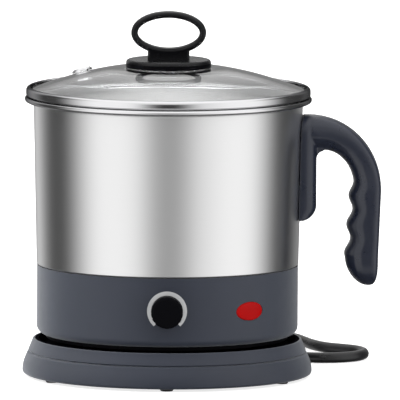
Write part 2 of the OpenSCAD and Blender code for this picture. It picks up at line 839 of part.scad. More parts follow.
// Outer and inner edge of the arm at an angle from the level, and of the grip at a height
function arm_outer(a) = outer_c + [(grip_x - outer_c[0]) * cos(a), bend_h * sin(a)];
function arm_inner(a) =
    inner_c + [(grip_x - grip_t - inner_c[0]) * cos(a), (arm_low - inner_c[1]) * sin(a)];
function finger_wave(z) = finger_depth / 2 * (1 - cos(360 * (z - bend_z - 6) / finger_pitch));
function grip_inner(z) =
    grip_x - grip_t - finger_wave(z) * min(1, (bend_z + 4 - z) / 6) - (bend_z - z) * 0.07;
function grip_outer(z) = grip_x - (bend_z - z) * 0.04;
// Closing of the free end: s runs from 1 at the grip to 0 at the tip
function tip_inner(s) = tip_x + (grip_inner(tip_z) - tip_x) * pow(1 - pow(1 - s, 1.8), 0.56);
function tip_outer(s) = tip_x + (grip_outer(tip_z) - tip_x) * pow(1 - pow(1 - s, 3), 0.33);

function handle_ring(o, i, w, n = 20) =
    let (c = (o + i) / 2, e = (o - i) / 2)
    [for (k = [0:n - 1]) let (x = squared(cos(360 * k / n)), y = squared(sin(360 * k / n)))
        [c[0] + e[0] * x, w / 2 * y, c[1] + e[1] * x]];

handle_rings = concat(
    [handle_ring([wall_top_r + 1.5, handle_top], [wall_top_r + 4, arm_low], grip_w)],
    [for (k = [0:arm_n]) let (a = 90 - 90 * k / arm_n)
        handle_ring(arm_outer(a), arm_inner(a), grip_w * (1 - 0.12 * sin(180 * k / arm_n)))],
    [for (k = [1:grip_n]) let (z = bend_z + (tip_z - bend_z) * k / grip_n)
        handle_ring([grip_outer(z), z], [grip_inner(z), z], grip_w)],
    [for (k = [1:tip_n]) let (s = 1 - k / tip_n * 0.98, z = handle_low + (tip_z - handle_low) * s)
        handle_ring([tip_outer(s), z], [tip_inner(s), z], grip_w * pow(1 - pow(1 - s, 2.6), 0.4))]
);

// Bracket on the pot, and the screws through the pad
bracket_w = 14;
bracket_t = 4;
bracket_low = pad_low + 6;
bracket_top = arm_low - 3;
bracket_x = wall_top_r + bracket_t;
handle_screw_zs = [bracket_low + 7, bracket_top - 7];
handle_shank_r = 1.6;
handle_head_r = 3;
handle_head_seat = pad_x - 2.4;

module handle_bracket() {
    color(zinc_c) difference() {
        translate([wall_low_r - 2, -bracket_w / 2, bracket_low])
            cube([bracket_x - wall_low_r + 2, bracket_w, bracket_top - bracket_low]);
        wall_outside(seat_gap);
        for (z = handle_screw_zs) translate([wall_low_r, 0, z]) rotate([0, 90, 0])
            cylinder(r = handle_shank_r + seat_gap, h = bracket_x);
    }
}

module handle_pad() {
    end_r = 9;
    side_r = 5;
    fillet_r = 4.5;
    back = wall_low_r - 10;
    intersection() {
        rotate([90, 0, 0]) linear_extrude(pad_w, center = true) polygon(concat(
            [[back, pad_low]], arc([pad_x - end_r, pad_low + end_r], end_r, -90, 0),
            [[pad_x, handle_top - 0.6], [back, handle_top - 0.6]]
        ));
        linear_extrude(handle_top) polygon(concat(
            [[back, -pad_w / 2]], arc([pad_x - side_r, side_r - pad_w / 2], side_r, -90, 0),
            arc([pad_x - side_r, pad_w / 2 - side_r], side_r, 0, 90), [[back, pad_w / 2]]
        ));
    }
    rotate([90, 0, 0]) linear_extrude(grip_w * 0.6, center = true) polygon(concat(
        [[pad_x - 2, arm_low - fillet_r]], arc([pad_x + fillet_r, arm_low - fillet_r], fillet_r, 180, 90),
        [[pad_x + fillet_r, arm_low + 3], [pad_x - 2, arm_low + 3]]
    ));
}

module handle() {
    color(plastic_c) difference() {
        union() {
            skin(handle_rings);
            handle_pad();
        }
        wall_outside(seat_gap);
        translate([wall_low_r - 2, -bracket_w / 2 - seat_gap, bracket_low - seat_gap])
            cube([bracket_x - wall_low_r + 2 + seat_gap, bracket_w + 2 * seat_gap,
                bracket_top - bracket_low + 2 * seat_gap]);
        for (z = handle_screw_zs) translate([bracket_x - 1, 0, z]) rotate([0, 90, 0]) {
            cylinder(r = handle_shank_r + seat_gap, h = pad_t);
            translate([0, 0, handle_head_seat - bracket_x + 1])
                cylinder(r = handle_head_r + 2 * seat_gap, h = pad_t);
        }
    }
}

module handle_screws() {
    color(zinc_c) for (z = handle_screw_zs) translate([handle_head_seat, 0, z]) rotate([0, -90, 0])
        screw(handle_shank_r, handle_head_seat - wall_top_r - 1, handle_head_r, 1.8);
}

// Lid

glass_low = lid_z + band_t;
glass_edge_top = glass_low + glass_t;
glass_r = rim_r - 1.6;
glass_top = glass_edge_top + glass_rise;
dome_base = glass_r - glass_flat;
dome_bend = 5;
dome_r = (pow(dome_base, 2) + pow(glass_rise, 2)) / (2 * glass_rise);
function cap_z(r) = glass_top - dome_r + sqrt(pow(dome_r, 2) - pow(r, 2));
function bend_share(r) = pow(max(0, dome_base + dome_bend - r) / (2 * dome_bend), 2);
// Height of the glass's top face: a dome that bends into a flat edge
function glass_z(r) =
    r < dome_base - dome_bend ? cap_z(r)
    : glass_edge_top + (cap_z(dome_base - dome_bend) - glass_edge_top) * bend_share(r);
knob_shank_r = 2.4;
band_r = rim_r - 0.8;
band_top = glass_edge_top + seat_gap;
gasket_t = 0.9;
gasket_r = 11;
foot_r = knob_foot_d / 2;
foot_in = foot_r - knob_foot_t / 2;
knob_z = glass_z(foot_in) + gasket_t;
washer_t = 1;
washer_r = 8;
under_glass = glass_top - glass_t;
vent_turn = 160;
vent_bore = vent_d / 2 - 4.3;
vent_neck = vent_d / 2 - 2.6;

// Place on the vent's axis, square to the glass, with z = 0 on its top face
module at_vent() {
    rotate(vent_turn) translate([vent_r, 0, glass_z(vent_r)]) rotate([0, asin(vent_r / dome_r), 0])
        children();
}

module lid_glass() {
    step_n = 18;
    from = knob_shank_r + 0.6;
    rs = [for (k = [0:step_n]) from + (glass_r - from) * k / step_n];
    color(glass_c) difference() {
        rotate_extrude() polygon(concat(
            [for (r = rs) [r, glass_z(r)]],
            [for (k = [step_n:-1:0]) [rs[k], glass_z(rs[k]) - glass_t]]
        ));
        at_vent() translate([0, 0, -glass_t - 2]) cylinder(r = vent_neck + seat_gap, h = glass_t + 4);
    }
}

module lid_rim() {
    skirt_out = mouth_r - 0.5;
    skirt_in = skirt_out - band_t;
    lip = 2.4;
    edge = 0.5;
    lip_z = band_top + glass_z(glass_r - lip + 0.8) - glass_edge_top;
    color(steel_c) rotate_extrude() polygon([
        [skirt_in, lid_z - band_skirt], [skirt_out, lid_z - band_skirt], [skirt_out, lid_z],
        [band_r, lid_z], [band_r, lip_z + band_t], [band_r - edge, lip_z + band_t + edge],
        [band_r - lip, lip_z + band_t + edge], [band_r - lip, lip_z], [band_r - band_t, lip_z],
        [band_r - band_t, glass_low], [skirt_in, glass_low]
    ]);
}

loop_z = knob_z + knob_foot_t + knob_neck_h + loop_h / 2;

module lid_knob() {
    foot_top = knob_z + knob_foot_t;
    under_n = 5;
    ring_n = 44;
    side_n = 12;
    half = [(loop_w - loop_t) / 2, (loop_h - loop_t) / 2];
    loop_rings = [
        for (i = [0:ring_n - 1])
            let (
                a = -360 * i / ring_n,
                v = [half[1] * cos(a), half[0] * sin(a)],
                n = v / norm(v)
            )
            [for (k = [0:side_n - 1])
                let (
                    x = loop_t / 2 * squared(cos(360 * k / side_n)),
                    y = loop_depth / 2 * squared(sin(360 * k / side_n))
                )
                [half[0] * cos(a) + n[0] * x, y, loop_z + half[1] * sin(a) + n[1] * x]]
    ];
    color(black_c) difference() {
        union() {
            rotate_extrude() polygon(concat(
                [for (k = [0:under_n - 1]) let (r = foot_in * k / under_n) [r, glass_z(r) + gasket_t]],
                arc([foot_in, knob_z + knob_foot_t / 2], knob_foot_t / 2, -90, 90, 10),
                [[0, foot_top]]
            ));
            translate([0, 0, foot_top - 1]) linear_extrude(knob_neck_h + loop_t * 0.8 + 1)
                polygon(round_box(knob_neck_w, loop_depth - 0.4, 1.5));
            skin(loop_rings, closed = true);
        }
        translate([0, 0, knob_z - 1])
            cylinder(r = knob_shank_r + seat_gap, h = knob_foot_t + knob_neck_h + 1);
    }
}

module knob_gasket() {
    rs = [for (share = [0, 0.5, 1]) let (from = knob_shank_r + seat_gap) from + (gasket_r - from) * share];
    slack = 0.05;
    color(rubber_c) rotate_extrude() polygon(concat(
        [for (r = rs) [r, glass_z(r) + slack]],
        [for (k = [len(rs) - 1:-1:0]) [rs[k], glass_z(rs[k]) + gasket_t - slack]]
    ));
}

module screw_washer() {
    color(rubber_c) translate([0, 0, under_glass - washer_t - seat_gap]) difference() {
        cylinder(r = washer_r, h = washer_t);
        translate([0, 0, -1]) cylinder(r = knob_shank_r + seat_gap, h = washer_t + 2);
    }
}

module knob_screw() {
    seat = under_glass - washer_t - seat_gap;
    color(zinc_c) translate([0, 0, seat])
        screw(knob_shank_r, knob_z + knob_foot_t + knob_neck_h - 1 - seat, knob_shank_r * 2, 2.6);
}

module vent_eyelet() {
    rim = 1.4;
    lift = 0.1;
    color(steel_c) at_vent() rotate_extrude() polygon([
        [vent_bore, -glass_t - rim - lift], [vent_d / 2 - 1, -glass_t - rim - lift],
        [vent_d / 2 - 1, -glass_t - lift], [vent_neck, -glass_t - lift], [vent_neck, lift],
        [vent_d / 2, lift], [vent_d / 2, lift + rim * 0.5], [vent_d / 2 - 1, lift + rim],
        [vent_bore + 0.8, lift + rim], [vent_bore, lift]
    ]);
}

base_tray();
base_cover();
base_feet();
base_screws();
base_coupler();
base_contacts();
strain_relief();
cord_lead();
cord_coil();
cord_tail();
cord_tie();
plug_body();
plug_pins();
kettle_coupler();
coupler_contacts();
pot();
heat_plate();
heating_element();
safety_cutout();
body_shell();
shell_seal();
bottom_cover();
cover_screws();
thermostat();
thermostat_nut();
pilot_lens();
pilot_lamp();
handle_bracket();
handle();
handle_screws();
dial_knob();
thermostat_shaft();
lid_glass();
lid_rim();
lid_knob();
knob_gasket();
knob_screw();
screw_washer();
vent_eyelet();
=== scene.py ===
import json
import math

import bmesh
import bpy
from bpy.props import FloatProperty, FloatVectorProperty, PointerProperty
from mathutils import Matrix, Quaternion, Vector


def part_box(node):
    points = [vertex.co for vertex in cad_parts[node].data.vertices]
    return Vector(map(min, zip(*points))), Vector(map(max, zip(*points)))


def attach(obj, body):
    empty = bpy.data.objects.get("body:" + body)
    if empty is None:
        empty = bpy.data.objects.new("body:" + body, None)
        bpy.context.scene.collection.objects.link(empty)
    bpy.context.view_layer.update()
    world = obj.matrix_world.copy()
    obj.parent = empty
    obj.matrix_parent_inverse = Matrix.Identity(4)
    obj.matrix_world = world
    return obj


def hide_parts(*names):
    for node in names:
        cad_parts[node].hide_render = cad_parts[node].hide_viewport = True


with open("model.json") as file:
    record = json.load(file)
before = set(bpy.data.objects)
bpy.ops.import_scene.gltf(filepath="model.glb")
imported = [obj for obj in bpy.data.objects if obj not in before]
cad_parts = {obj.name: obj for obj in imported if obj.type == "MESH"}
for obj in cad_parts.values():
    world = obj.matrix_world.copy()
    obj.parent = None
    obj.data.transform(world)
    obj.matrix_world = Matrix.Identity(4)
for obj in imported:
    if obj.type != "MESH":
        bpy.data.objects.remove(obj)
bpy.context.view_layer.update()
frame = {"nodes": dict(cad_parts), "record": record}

bl_info = {
    "name": "Electric multi kettle",
    "version": (1, 0, 0),
    "blender": (4, 5, 0),
    "location": "View3D > Sidebar > Kettle",
    "description": "Shapes, finishes and studio of an electric multi kettle on its power base",
    "category": "Object",
}

MM = 0.001
CRISP = 35


def length(name, default, description):
    """Property for a length in metres."""
    return FloatProperty(name=name, description=description, default=default, unit="LENGTH", precision=5)


def share(name, default, description):
    """Property for a level from dark to full."""
    return FloatProperty(
        name=name, description=description, default=default, min=0, max=8, subtype="FACTOR")


def angle(name, degrees, description):
    """Property for an angle, given in degrees."""
    return FloatProperty(name=name, description=description, default=math.radians(degrees), subtype="ANGLE")


def colour(name, default, description):
    """Property for a linear colour."""
    return FloatVectorProperty(
        name=name, description=description, default=default, size=3, min=0, max=1, subtype="COLOR")


class KettleSizes(bpy.types.PropertyGroup):
    """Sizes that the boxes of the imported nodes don't give"""

    sheet: length("Steel sheet", 0.0006, "Thickness of the pot's wall")
    bead: length("Rim bead", 0.0016, "Radius of the pot's rolled rim")
    flare: length("Rim flare", 0.003, "Radius of the bend under the rim")
    ledge: length("Rim ledge", 0.0008, "Flat part between bend and bead")
    draft: length("Wall draft", 0.0022, "How much the wall draws in from top to bottom")
    pot_bend: length("Pot bend", 0.007, "Radius of the bend round the pot's bottom")
    glass: length("Glass", 0.0036, "Thickness of the lid's glass")
    glass_flat: length("Glass edge", 0.0084, "Width of the edge round the glass's dome")
    glass_cone: length("Glass cone", 0.064, "Radius from which the dome runs on straight into the band")
    glass_bulge: length("Glass bulge", 0.0012, "How far the glass stands over a plain dome")
    vent_out: length("Vent place", 0.055, "Distance of the vent from the middle of the lid")
    vent_turn: angle("Vent turn", 160, "Angle of the vent round the lid, from the handle")
    band: length("Lid band", 0.0006, "Thickness of the lid's steel band")
    knob_foot: length("Knob foot", 0.004, "Thickness of the lid knob's round foot")
    loop_tube: length("Loop thickness", 0.0041, "Thickness of the lid knob's loop, seen from the front")
    loop_depth: length("Loop depth", 0.0095, "Depth of the lid knob's loop, front to back")
    arc_radius: length("Dial arc", 0.0119, "Outer radius of the printed arc round the dial")
    arc_width: length("Arc width", 0.00245, "Width of the printed arc")
    arc_gap: angle("Arc gap", 82, "Open part of the printed arc, at the bottom")
    lamp_turn: angle("Lamp turn", 39.2, "Angle from the dial to the pilot lamp")
    lead: length("Lead", 0.0065, "Diameter of the mains lead")
    lead_length: length("Lead length", 1.25, "Whole length of the mains lead, coil included")
    knob_neck: length("Knob neck", 0.0029, "Height from the lid knob's foot to its loop")
    handle_voxel: length("Handle detail", 0.0006, "Cell size at which the handle's pieces are blended")


class KettleColours(bpy.types.PropertyGroup):
    """Colours of the finishes"""

    plastic: colour("Body plastic", (0.020, 0.0245, 0.039), "Blue-grey plastic of body and base")
    grip: colour("Handle plastic", (0.012, 0.0155, 0.029), "Smoother and darker plastic of the handle")
    # The black also stands for painted shade in the base's dish
    black: colour("Black plastic", (0.003, 0.003, 0.004), "Knobs, bottom cover and the base's dish")
    sheath: colour("Lead sheath", (0.010, 0.010, 0.011), "Mains lead and plug")
    rubber: colour("Rubber", (0.016, 0.016, 0.017), "Feet, seals and tie")
    steel: colour("Stainless steel", (0.90, 0.90, 0.90), "Outside of the pot")
    satin: colour("Satin steel", (0.44, 0.44, 0.44), "Inside of the pot and skirt of the lid's band")
    chrome: colour("Polished steel", (0.84, 0.84, 0.85), "Band of the lid, rolled rim and vent eyelet")
    edge: colour("Edge of steel", (0.15, 0.15, 0.155), "Tint of band and rolled rim at a flat angle")
    zinc: colour("Zinc plate", (0.52, 0.53, 0.55), "Screws, nut, bracket and heating element")
    brass: colour("Brass", (0.72, 0.53, 0.24), "Contacts and plug pins")
    aluminium: colour("Aluminium", (0.72, 0.73, 0.75), "Heat plate")
    lamp: colour("Lamp lens", (0.33, 0.003, 0.003), "Clear red lens of the pilot lamp")
    glass: colour("Lid glass", (0.985, 0.99, 0.99), "Tint of the lid's glass")
    ink: colour("Dial mark", (0.46, 0.465, 0.47), "Printed arc round the dial")


class KettleStudio(bpy.types.PropertyGroup):
    """Camera, floor and light"""

    distance: length("Camera distance", 10.5, "From the camera to the middle of the picture")
    lift: angle("Camera lift", 6.3, "Height of the camera over the horizon")
    width: length("Picture width", 0.2395, "Width that the picture takes in at the kettle")
    roll: angle("Camera roll", 0.3, "Turn of the camera about its line of sight")
    aim_right: length("Aim to the right", 0.01924, "Middle of the picture, right of the pot's axis")
    aim_up: length("Aim height", 0.10566, "Middle of the picture, over the floor")
    room: share("Room light", 1.15, "Level light on matt surfaces, from all round")
    left: share("Left lamp", 5.0, "Soft lamp at the left, on matt surfaces")
    right: share("Right lamp", 1.2, "Soft lamp at the right, on matt surfaces")
    panel: share("Light panels", 1.03, "Bright panels left and right of the camera, in reflections")
    flag: share("Dark flags", 0.06, "Dark screens at both sides, in reflections")
    front: share("Front gap", 0.67, "Gap between the panels, in reflections")
    lens: share("Camera", 0.04, "Dark camera in the middle of the gap, in reflections")
    lens_wide: angle("Camera width", 30, "Half the width of the dark camera, as seen from the kettle")
    lens_high: angle("Camera height", 14, "Half the height of the dark camera, as seen from the kettle")
    back: share("Back wall", 0.25, "Middle of the wall behind the kettle, in reflections")
    back_left: share("Back wall left", 0.65, "Left half of the wall behind the kettle, in reflections")
    back_right: share("Back wall right", 0.28, "Right half of the wall behind the kettle, in reflections")
    above: share("Overhead panel", 1.1, "Bright panel over the kettle, in reflections")
    table: share("Table", 0.1, "Dark table under the kettle, in reflections")
    through_back: share("Through glass, back", 0.24, "Grey wall that is seen through the glass lid")
    through_front: share("Through glass, front", 5.4, "Light through the lid from front and above")
    floor: share("Floor", 0.45, "Light that the floor gives back")
    floor_lift: share("Floor lift", 0.77, "Light added to the floor in the picture, so that it is white")


# The mains lead's stretch from the strain relief to the coil, in millimetres
LEAD_ROUTE = (
    (0, 112, 9.4), (0, 119, 9.4), (0, 130, 7.4), (0, 142, 4.6), (3.5, 155, 3.5), (13, 164.5, 3.3),
    (26, 168, 3.3), (39, 164.5, 3.3), (48.5, 155, 3.3), (52, 142, 3.3), (52, 125, 3.3), (52, 108, 3.3),
    (54.5, 93.5, 3.3), (61.5, 81, 3.3), (72, 72.5, 3.3), (84.5, 66, 3.3), (96.5, 64, 3.3),
    (108.5, 68.5, 3.3), (116.5, 78, 3.3), (118.5, 90, 3.3), (114.5, 101.5, 3.3), (106.5, 109, 3.3),
    (96.5, 117, 3.3), (89, 129.5, 3.3), (84, 144, 3.3), (79, 159, 3.3), (71.5, 173, 3.3),
    (61, 185.5, 3.3), (48, 194.5, 3.3), (33, 198.5, 3.3), (22, 196, 3.6), (14.5, 190.8, 4.2),
    (9.5, 183.4, 4.6),
)
# The stretch from the coil to the plug
TAIL_ROUTE = (
    (-19.5, 229, 11.8), (-13, 229, 13.2), (-6.5, 229, 15.6), (-0.5, 229, 17.5), (3, 229, 18), (6, 229, 18),
)
# The coil between them, with its turns in two layers
COIL_CENTRE = (-32, 189)
COIL_RADIUS = 40
COIL_PITCH = 7.2
COIL_HEIGHT = 4.6
COIL_FROM = -25
COIL_TURNS = 3 + 245 / 360
COIL_STEPS = 88


def sizes():
    return bpy.context.scene.kettle_sizes


def colours():
    return bpy.context.scene.kettle_colours


def studio():
    return bpy.context.scene.kettle_studio


# Meshes

def smooth(mesh, sharp):
    """Smooth shading, with edges that bend more than an angle in degrees kept crisp."""
    bench = bmesh.new()
    bench.from_mesh(mesh)
    bmesh.ops.recalc_face_normals(bench, faces=bench.faces)
    bench.to_mesh(mesh)
    bench.free()
    mesh.shade_smooth()
    mesh.set_sharp_from_angle(angle=math.radians(sharp))
    return mesh


def mesh_of(name, points, faces, sharp=CRISP):
    """Smooth mesh from points and faces."""
    mesh = bpy.data.meshes.new(name)
    mesh.from_pydata(points, [], faces)
    mesh.validate()
    return smooth(mesh, sharp)


def arc(centre, radius, start, end, steps=8):
    """Points on a circle from one angle to another, in degrees."""
    turns = [math.radians(start + (end - start) * k / steps) for k in range(steps + 1)]
    return [(centre[0] + radius * math.cos(t), centre[1] + radius * math.sin(t)) for t in turns]


def rounded(corners, steps=5):
    """Outline through corners (x, y, radius), each turned into an arc of its radius."""
    outline = []
    for k, (x, y, radius) in enumerate(corners):
        here = Vector((x, y))
        back = (Vector(corners[k - 1][:2]) - here).normalized()
        ahead = (Vector(corners[(k + 1) % len(corners)][:2]) - here).normalized()
        if radius == 0:
            outline.append((x, y))
            continue
        half = back.angle(ahead) / 2
        centre = here + (back + ahead).normalized() * radius / math.sin(half)
        first = here + back * radius / math.tan(half) - centre
        last = here + ahead * radius / math.tan(half) - centre
        start = math.degrees(math.atan2(first.y, first.x))
        turn = (math.degrees(math.atan2(last.y, last.x)) - start + 180) % 360 - 180
        outline += arc(centre, radius, start, start + turn, steps)
    return outline


def lathe(name, outline, steps=160, sharp=CRISP):
    """Body turned about Z from a closed outline of (radius, height)."""
    on_axis = 1e-7
    points, rings, faces = [], [], []
    for radius, height in outline:
        count = 1 if radius < on_axis else steps
        rings.append(range(len(points), len(points) + count))
        for k in range(count):
            turn = 2 * math.pi * k / steps
            points.append((radius * math.cos(turn), radius * math.sin(turn), height))
    for low, high in zip(rings, rings[1:] + rings[:1]):
        for k in range(steps):
            corners = [ring[j % len(ring)] for ring, j in
                       ((low, k), (low, (k + 1) % steps), (high, (k + 1) % steps), (high, k))]
            face = list(dict.fromkeys(corners))
            if len(face) > 2:
                faces.append(face)
    return mesh_of(name, points, faces, sharp)


def loft(name, rings, closed=False, sharp=CRISP):
    """Skin over rings of equally many points, with fans over both ends or closed into a loop."""
    count = len(rings[0])
    points = [tuple(p) for ring in rings for p in ring]
    faces = []
    for i in range(len(rings) if closed else len(rings) - 1):
        j = (i + 1) % len(rings)
        for k in range(count):
            n = (k + 1) % count
            faces.append((i * count + k, i * count + n, j * count + n, j * count + k))
    if not closed:
        for i in (0, len(rings) - 1):
            points.append(tuple(sum((Vector(p) for p in rings[i]), Vector()) / count))
            faces += [(i * count + k, i * count + (k + 1) % count, len(points) - 1) for k in range(count)]
    return mesh_of(name, points, faces, sharp)


def rod(name, start, along, radius, reach, steps=48):
    """Plain cylinder from a point along a direction."""
    along = Vector(along).normalized()
    side = along.orthogonal().normalized()
    up = along.cross(side)
    turns = [2 * math.pi * k / steps for k in range(steps)]
    return loft(name, [
        [Vector(start) + along * d + radius * (side * math.cos(t) + up * math.sin(t)) for t in turns]
        for d in (0, reach)])


def bench_object(mesh):
    """Object that holds a mesh while it is worked on."""
    made = bpy.data.objects.new("bench", mesh)
    bpy.context.scene.collection.objects.link(made)
    return made


def worked(mesh, add_modifiers, sharp):
    """The mesh after modifiers, as a mesh of its own."""
    blank = bench_object(mesh)
    tools = add_modifiers(blank) or []
    graph = bpy.context.evaluated_depsgraph_get()
    result = bpy.data.meshes.new_from_object(blank.evaluated_get(graph))
    result.name = mesh.name
    for used in [blank] + tools:
        spent = used.data
        bpy.data.objects.remove(used)
        bpy.data.meshes.remove(spent)
    return smooth(result, sharp)


def combined(mesh, others, how="UNION", sharp=CRISP):
    """Exact boolean of one mesh with others."""
    def add_modifiers(blank):
        tools = [bench_object(other) for other in others]
        for tool in tools:
            step = blank.modifiers.new("combine", "BOOLEAN")
            step.operation = how
            step.solver = "EXACT"
            step.object = tool
        return tools
    return worked(mesh, add_modifiers, sharp)


def blended(mesh, cell, passes, sharp=50):
    """Overlapping closed skins blended into one, with soft inner corners."""
    def add_modifiers(blank):
        cells = blank.modifiers.new("cells", "REMESH")
        cells.mode = "VOXEL"
        cells.voxel_size = cell
        relax = blank.modifiers.new("relax", "SMOOTH")
        relax.factor = 0.5
        relax.iterations = passes
    return worked(mesh, add_modifiers, sharp)


def joined(name, meshes, sharp=CRISP):
    """Several meshes as one, not blended."""
    bench = bmesh.new()
    for mesh in meshes:
        bench.from_mesh(mesh)
    made = bpy.data.meshes.new(name)
    bench.to_mesh(made)
    bench.free()
    return smooth(made, sharp)


def turned(mesh, place):
    """The mesh with each point moved by a function."""
    for vertex in mesh.vertices:
        vertex.co = place(vertex.co)
    return mesh


def ease(way):
    """Smooth rise from 0 to 1."""
    held = min(1, max(0, way))
    return held * held * (3 - 2 * held)


def squared(value, power):
    """Coordinate of a circle pressed towards a square."""
    return math.copysign(abs(value) ** (2 / power), value)


# Finishes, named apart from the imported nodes' own plain materials

FINISH_PREFIX = "kettle."


class Shader:
    """Node material in the making"""

    def __init__(self, name, tint, **constants):
        self.material = bpy.data.materials.new(FINISH_PREFIX + name)
        self.material.use_nodes = True
        self.tree = self.material.node_tree
        self.surface = self.tree.nodes["Principled BSDF"]
        self.tint = tuple(tint)
        self.surface.inputs["Base Color"].default_value = (*self.tint, 1)
        for socket, value in constants.items():
            self.surface.inputs[socket.replace("_", " ")].default_value = value
        self.place = self.node("ShaderNodeTexCoord").outputs["Object"]

    def node(self, kind, **settings):
        """New node with its settings."""
        made = self.tree.nodes.new(kind)
        for name, value in settings.items():
            setattr(made, name, value)
        return made

    def link(self, source, target):
        self.tree.links.new(source, target)

    def noise(self, scale, detail=2.0, place=None):
        """Uneven pattern, finer with a larger scale."""
        made = self.node("ShaderNodeTexNoise")
        made.inputs["Scale"].default_value = scale
        made.inputs["Detail"].default_value = detail
        self.link(place or self.place, made.inputs["Vector"])
        return made.outputs["Fac"]

    def spread(self, source, low, high):
        """A noise, which mostly stays in the middle half of its range, spread between two values."""
        made = self.node("ShaderNodeMapRange")
        for name, value in (("From Min", 0.25), ("From Max", 0.75), ("To Min", low), ("To Max", high)):
            made.inputs[name].default_value = value
        self.link(source, made.inputs["Value"])
        return made.outputs["Result"]

    def tone(self, source, amount):
        """Base colour that wanders by a share of itself."""
        mix = self.node("ShaderNodeMix", data_type="RGBA")
        mix.inputs["A"].default_value = (*(c * (1 - amount) for c in self.tint), 1)
        mix.inputs["B"].default_value = (*(min(1, c * (1 + amount)) for c in self.tint), 1)
        self.link(source, mix.inputs["Factor"])
        self.link(mix.outputs["Result"], self.surface.inputs["Base Color"])

    def sheen(self, source, low, high):
        """Roughness that wanders between two values."""
        self.link(self.spread(source, low, high), self.surface.inputs["Roughness"])

    def grain(self, source, depth):
        """Relief of a depth in metres."""
        bump = self.node("ShaderNodeBump")
        bump.inputs["Strength"].default_value = 1
        bump.inputs["Distance"].default_value = depth
        self.link(source, bump.inputs["Height"])
        self.link(bump.outputs["Normal"], self.surface.inputs["Normal"])

    def round_the_axis(self, along, up):
        """Coordinates drawn out round the pot's axis, as turned brushing is."""
        flat = self.node("ShaderNodeVectorMath", operation="MULTIPLY")
        flat.inputs[1].default_value = (1, 1, 0)
        self.link(self.place, flat.inputs[0])
        unit = self.node("ShaderNodeVectorMath", operation="NORMALIZE")
        self.link(flat.outputs["Vector"], unit.inputs[0])
        wide = self.node("ShaderNodeVectorMath", operation="SCALE")
        wide.inputs["Scale"].default_value = along
        self.link(unit.outputs["Vector"], wide.inputs[0])
        tall = self.node("ShaderNodeVectorMath", operation="MULTIPLY_ADD")
        tall.inputs[1].default_value = (0, 0, up)
        self.link(self.place, tall.inputs[0])
        self.link(wide.outputs["Vector"], tall.inputs[2])
        return tall.outputs["Vector"]

    def turning(self):
        """Fine marks round the axis, as a lathe leaves them."""
        return self.noise(1, place=self.round_the_axis(along=9, up=3600))


def moulded(name, tint, sheen, grain, **constants):
    """Moulded plastic or rubber: fine grain, slightly uneven tone and sheen."""
    made = Shader(name, tint, **constants)
    clouds, patches, pores = made.noise(60), made.noise(140), made.noise(2600, 3)
    made.tone(clouds, 0.05)
    made.sheen(patches, *sheen)
    made.grain(pores, grain)
    return made.material


def plated(name, tint, sheen):
    """Plain metal with cloudy sheen and faint scratches."""
    made = Shader(name, tint, Metallic=1.0)
    clouds, patches, scratches = made.noise(90), made.noise(260, 4), made.noise(1800, 3)
    made.tone(clouds, 0.06)
    made.sheen(patches, *sheen)
    made.grain(scratches, 2e-6)
    return made.material


def blue_grey_plastic():
    return moulded(
        "blue_grey_plastic", colours().plastic, sheen=(0.36, 0.44), grain=6e-6,
        Specular_IOR_Level=0.36, Sheen_Weight=0.25, Sheen_Roughness=0.5, Sheen_Tint=(0.92, 0.96, 1, 1))


def base_plastic_painted_shade():
    """Body plastic with painted shade: dull black, without sheen or specular, in the dish that the kettle
    stands in.
    """
    made = finish("blue_grey_plastic").copy()
    made.name = FINISH_PREFIX + "base_plastic_painted_shade"
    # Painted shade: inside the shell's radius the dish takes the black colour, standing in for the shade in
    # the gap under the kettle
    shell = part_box("body_shell")[1].x
    painted_shade_to, full_from = shell + 0.0009, shell + 0.0016
    tree = made.node_tree
    surface = tree.nodes["Principled BSDF"]
    place = tree.nodes.new("ShaderNodeTexCoord")
    flat, out = (tree.nodes.new("ShaderNodeVectorMath") for _ in range(2))
    flat.operation, out.operation = "MULTIPLY", "LENGTH"
    flat.inputs[1].default_value = (1, 1, 0)
    dish = tree.nodes.new("ShaderNodeMapRange")
    dish.inputs["From Min"].default_value = painted_shade_to
    dish.inputs["From Max"].default_value = full_from
    shade = tree.nodes.new("ShaderNodeMix")
    shade.data_type = "RGBA"
    shade.inputs["A"].default_value = (*colours().black, 1)
    for source, target in (
            (place.outputs["Object"], flat.inputs[0]),
            (flat.outputs["Vector"], out.inputs[0]),
            (out.outputs["Value"], dish.inputs["Value"]),
            (dish.outputs["Result"], shade.inputs["Factor"]),
            (surface.inputs["Base Color"].links[0].from_socket, shade.inputs["B"]),
            (shade.outputs["Result"], surface.inputs["Base Color"])):
        tree.links.new(source, target)
    # Painted shade: the dish's sheen and specular level fade out with its black
    for socket in ("Sheen Weight", "Specular IOR Level"):
        fade = tree.nodes.new("ShaderNodeMath")
        fade.operation = "MULTIPLY"
        fade.inputs[1].default_value = surface.inputs[socket].default_value
        tree.links.new(dish.outputs["Result"], fade.inputs[0])
        tree.links.new(fade.outputs[0], surface.inputs[socket])
    return made


def grip_plastic():
    return moulded(
        "grip_plastic", colours().grip, sheen=(0.26, 0.32), grain=4e-6, Specular_IOR_Level=0.62)


def black_plastic():
    return moulded(
        "black_plastic", colours().black, sheen=(0.22, 0.30), grain=2e-6, Specular_IOR_Level=0.3)


def dull_black():
    return moulded(
        "dull_black", colours().black, sheen=(0.34, 0.42), grain=2e-6, Specular_IOR_Level=0.02)


def rubber():
    return moulded("rubber", colours().rubber, sheen=(0.6, 0.75), grain=1e-5)


def cord_pvc():
    return moulded("cord_pvc", colours().sheath, sheen=(0.26, 0.34), grain=4e-6)


def zinc_steel():
    return plated("zinc_steel", colours().zinc, sheen=(0.28, 0.4))


def brass():
    return plated("brass", colours().brass, sheen=(0.24, 0.36))


def aluminium():
    return plated("aluminium", colours().aluminium, sheen=(0.34, 0.46))


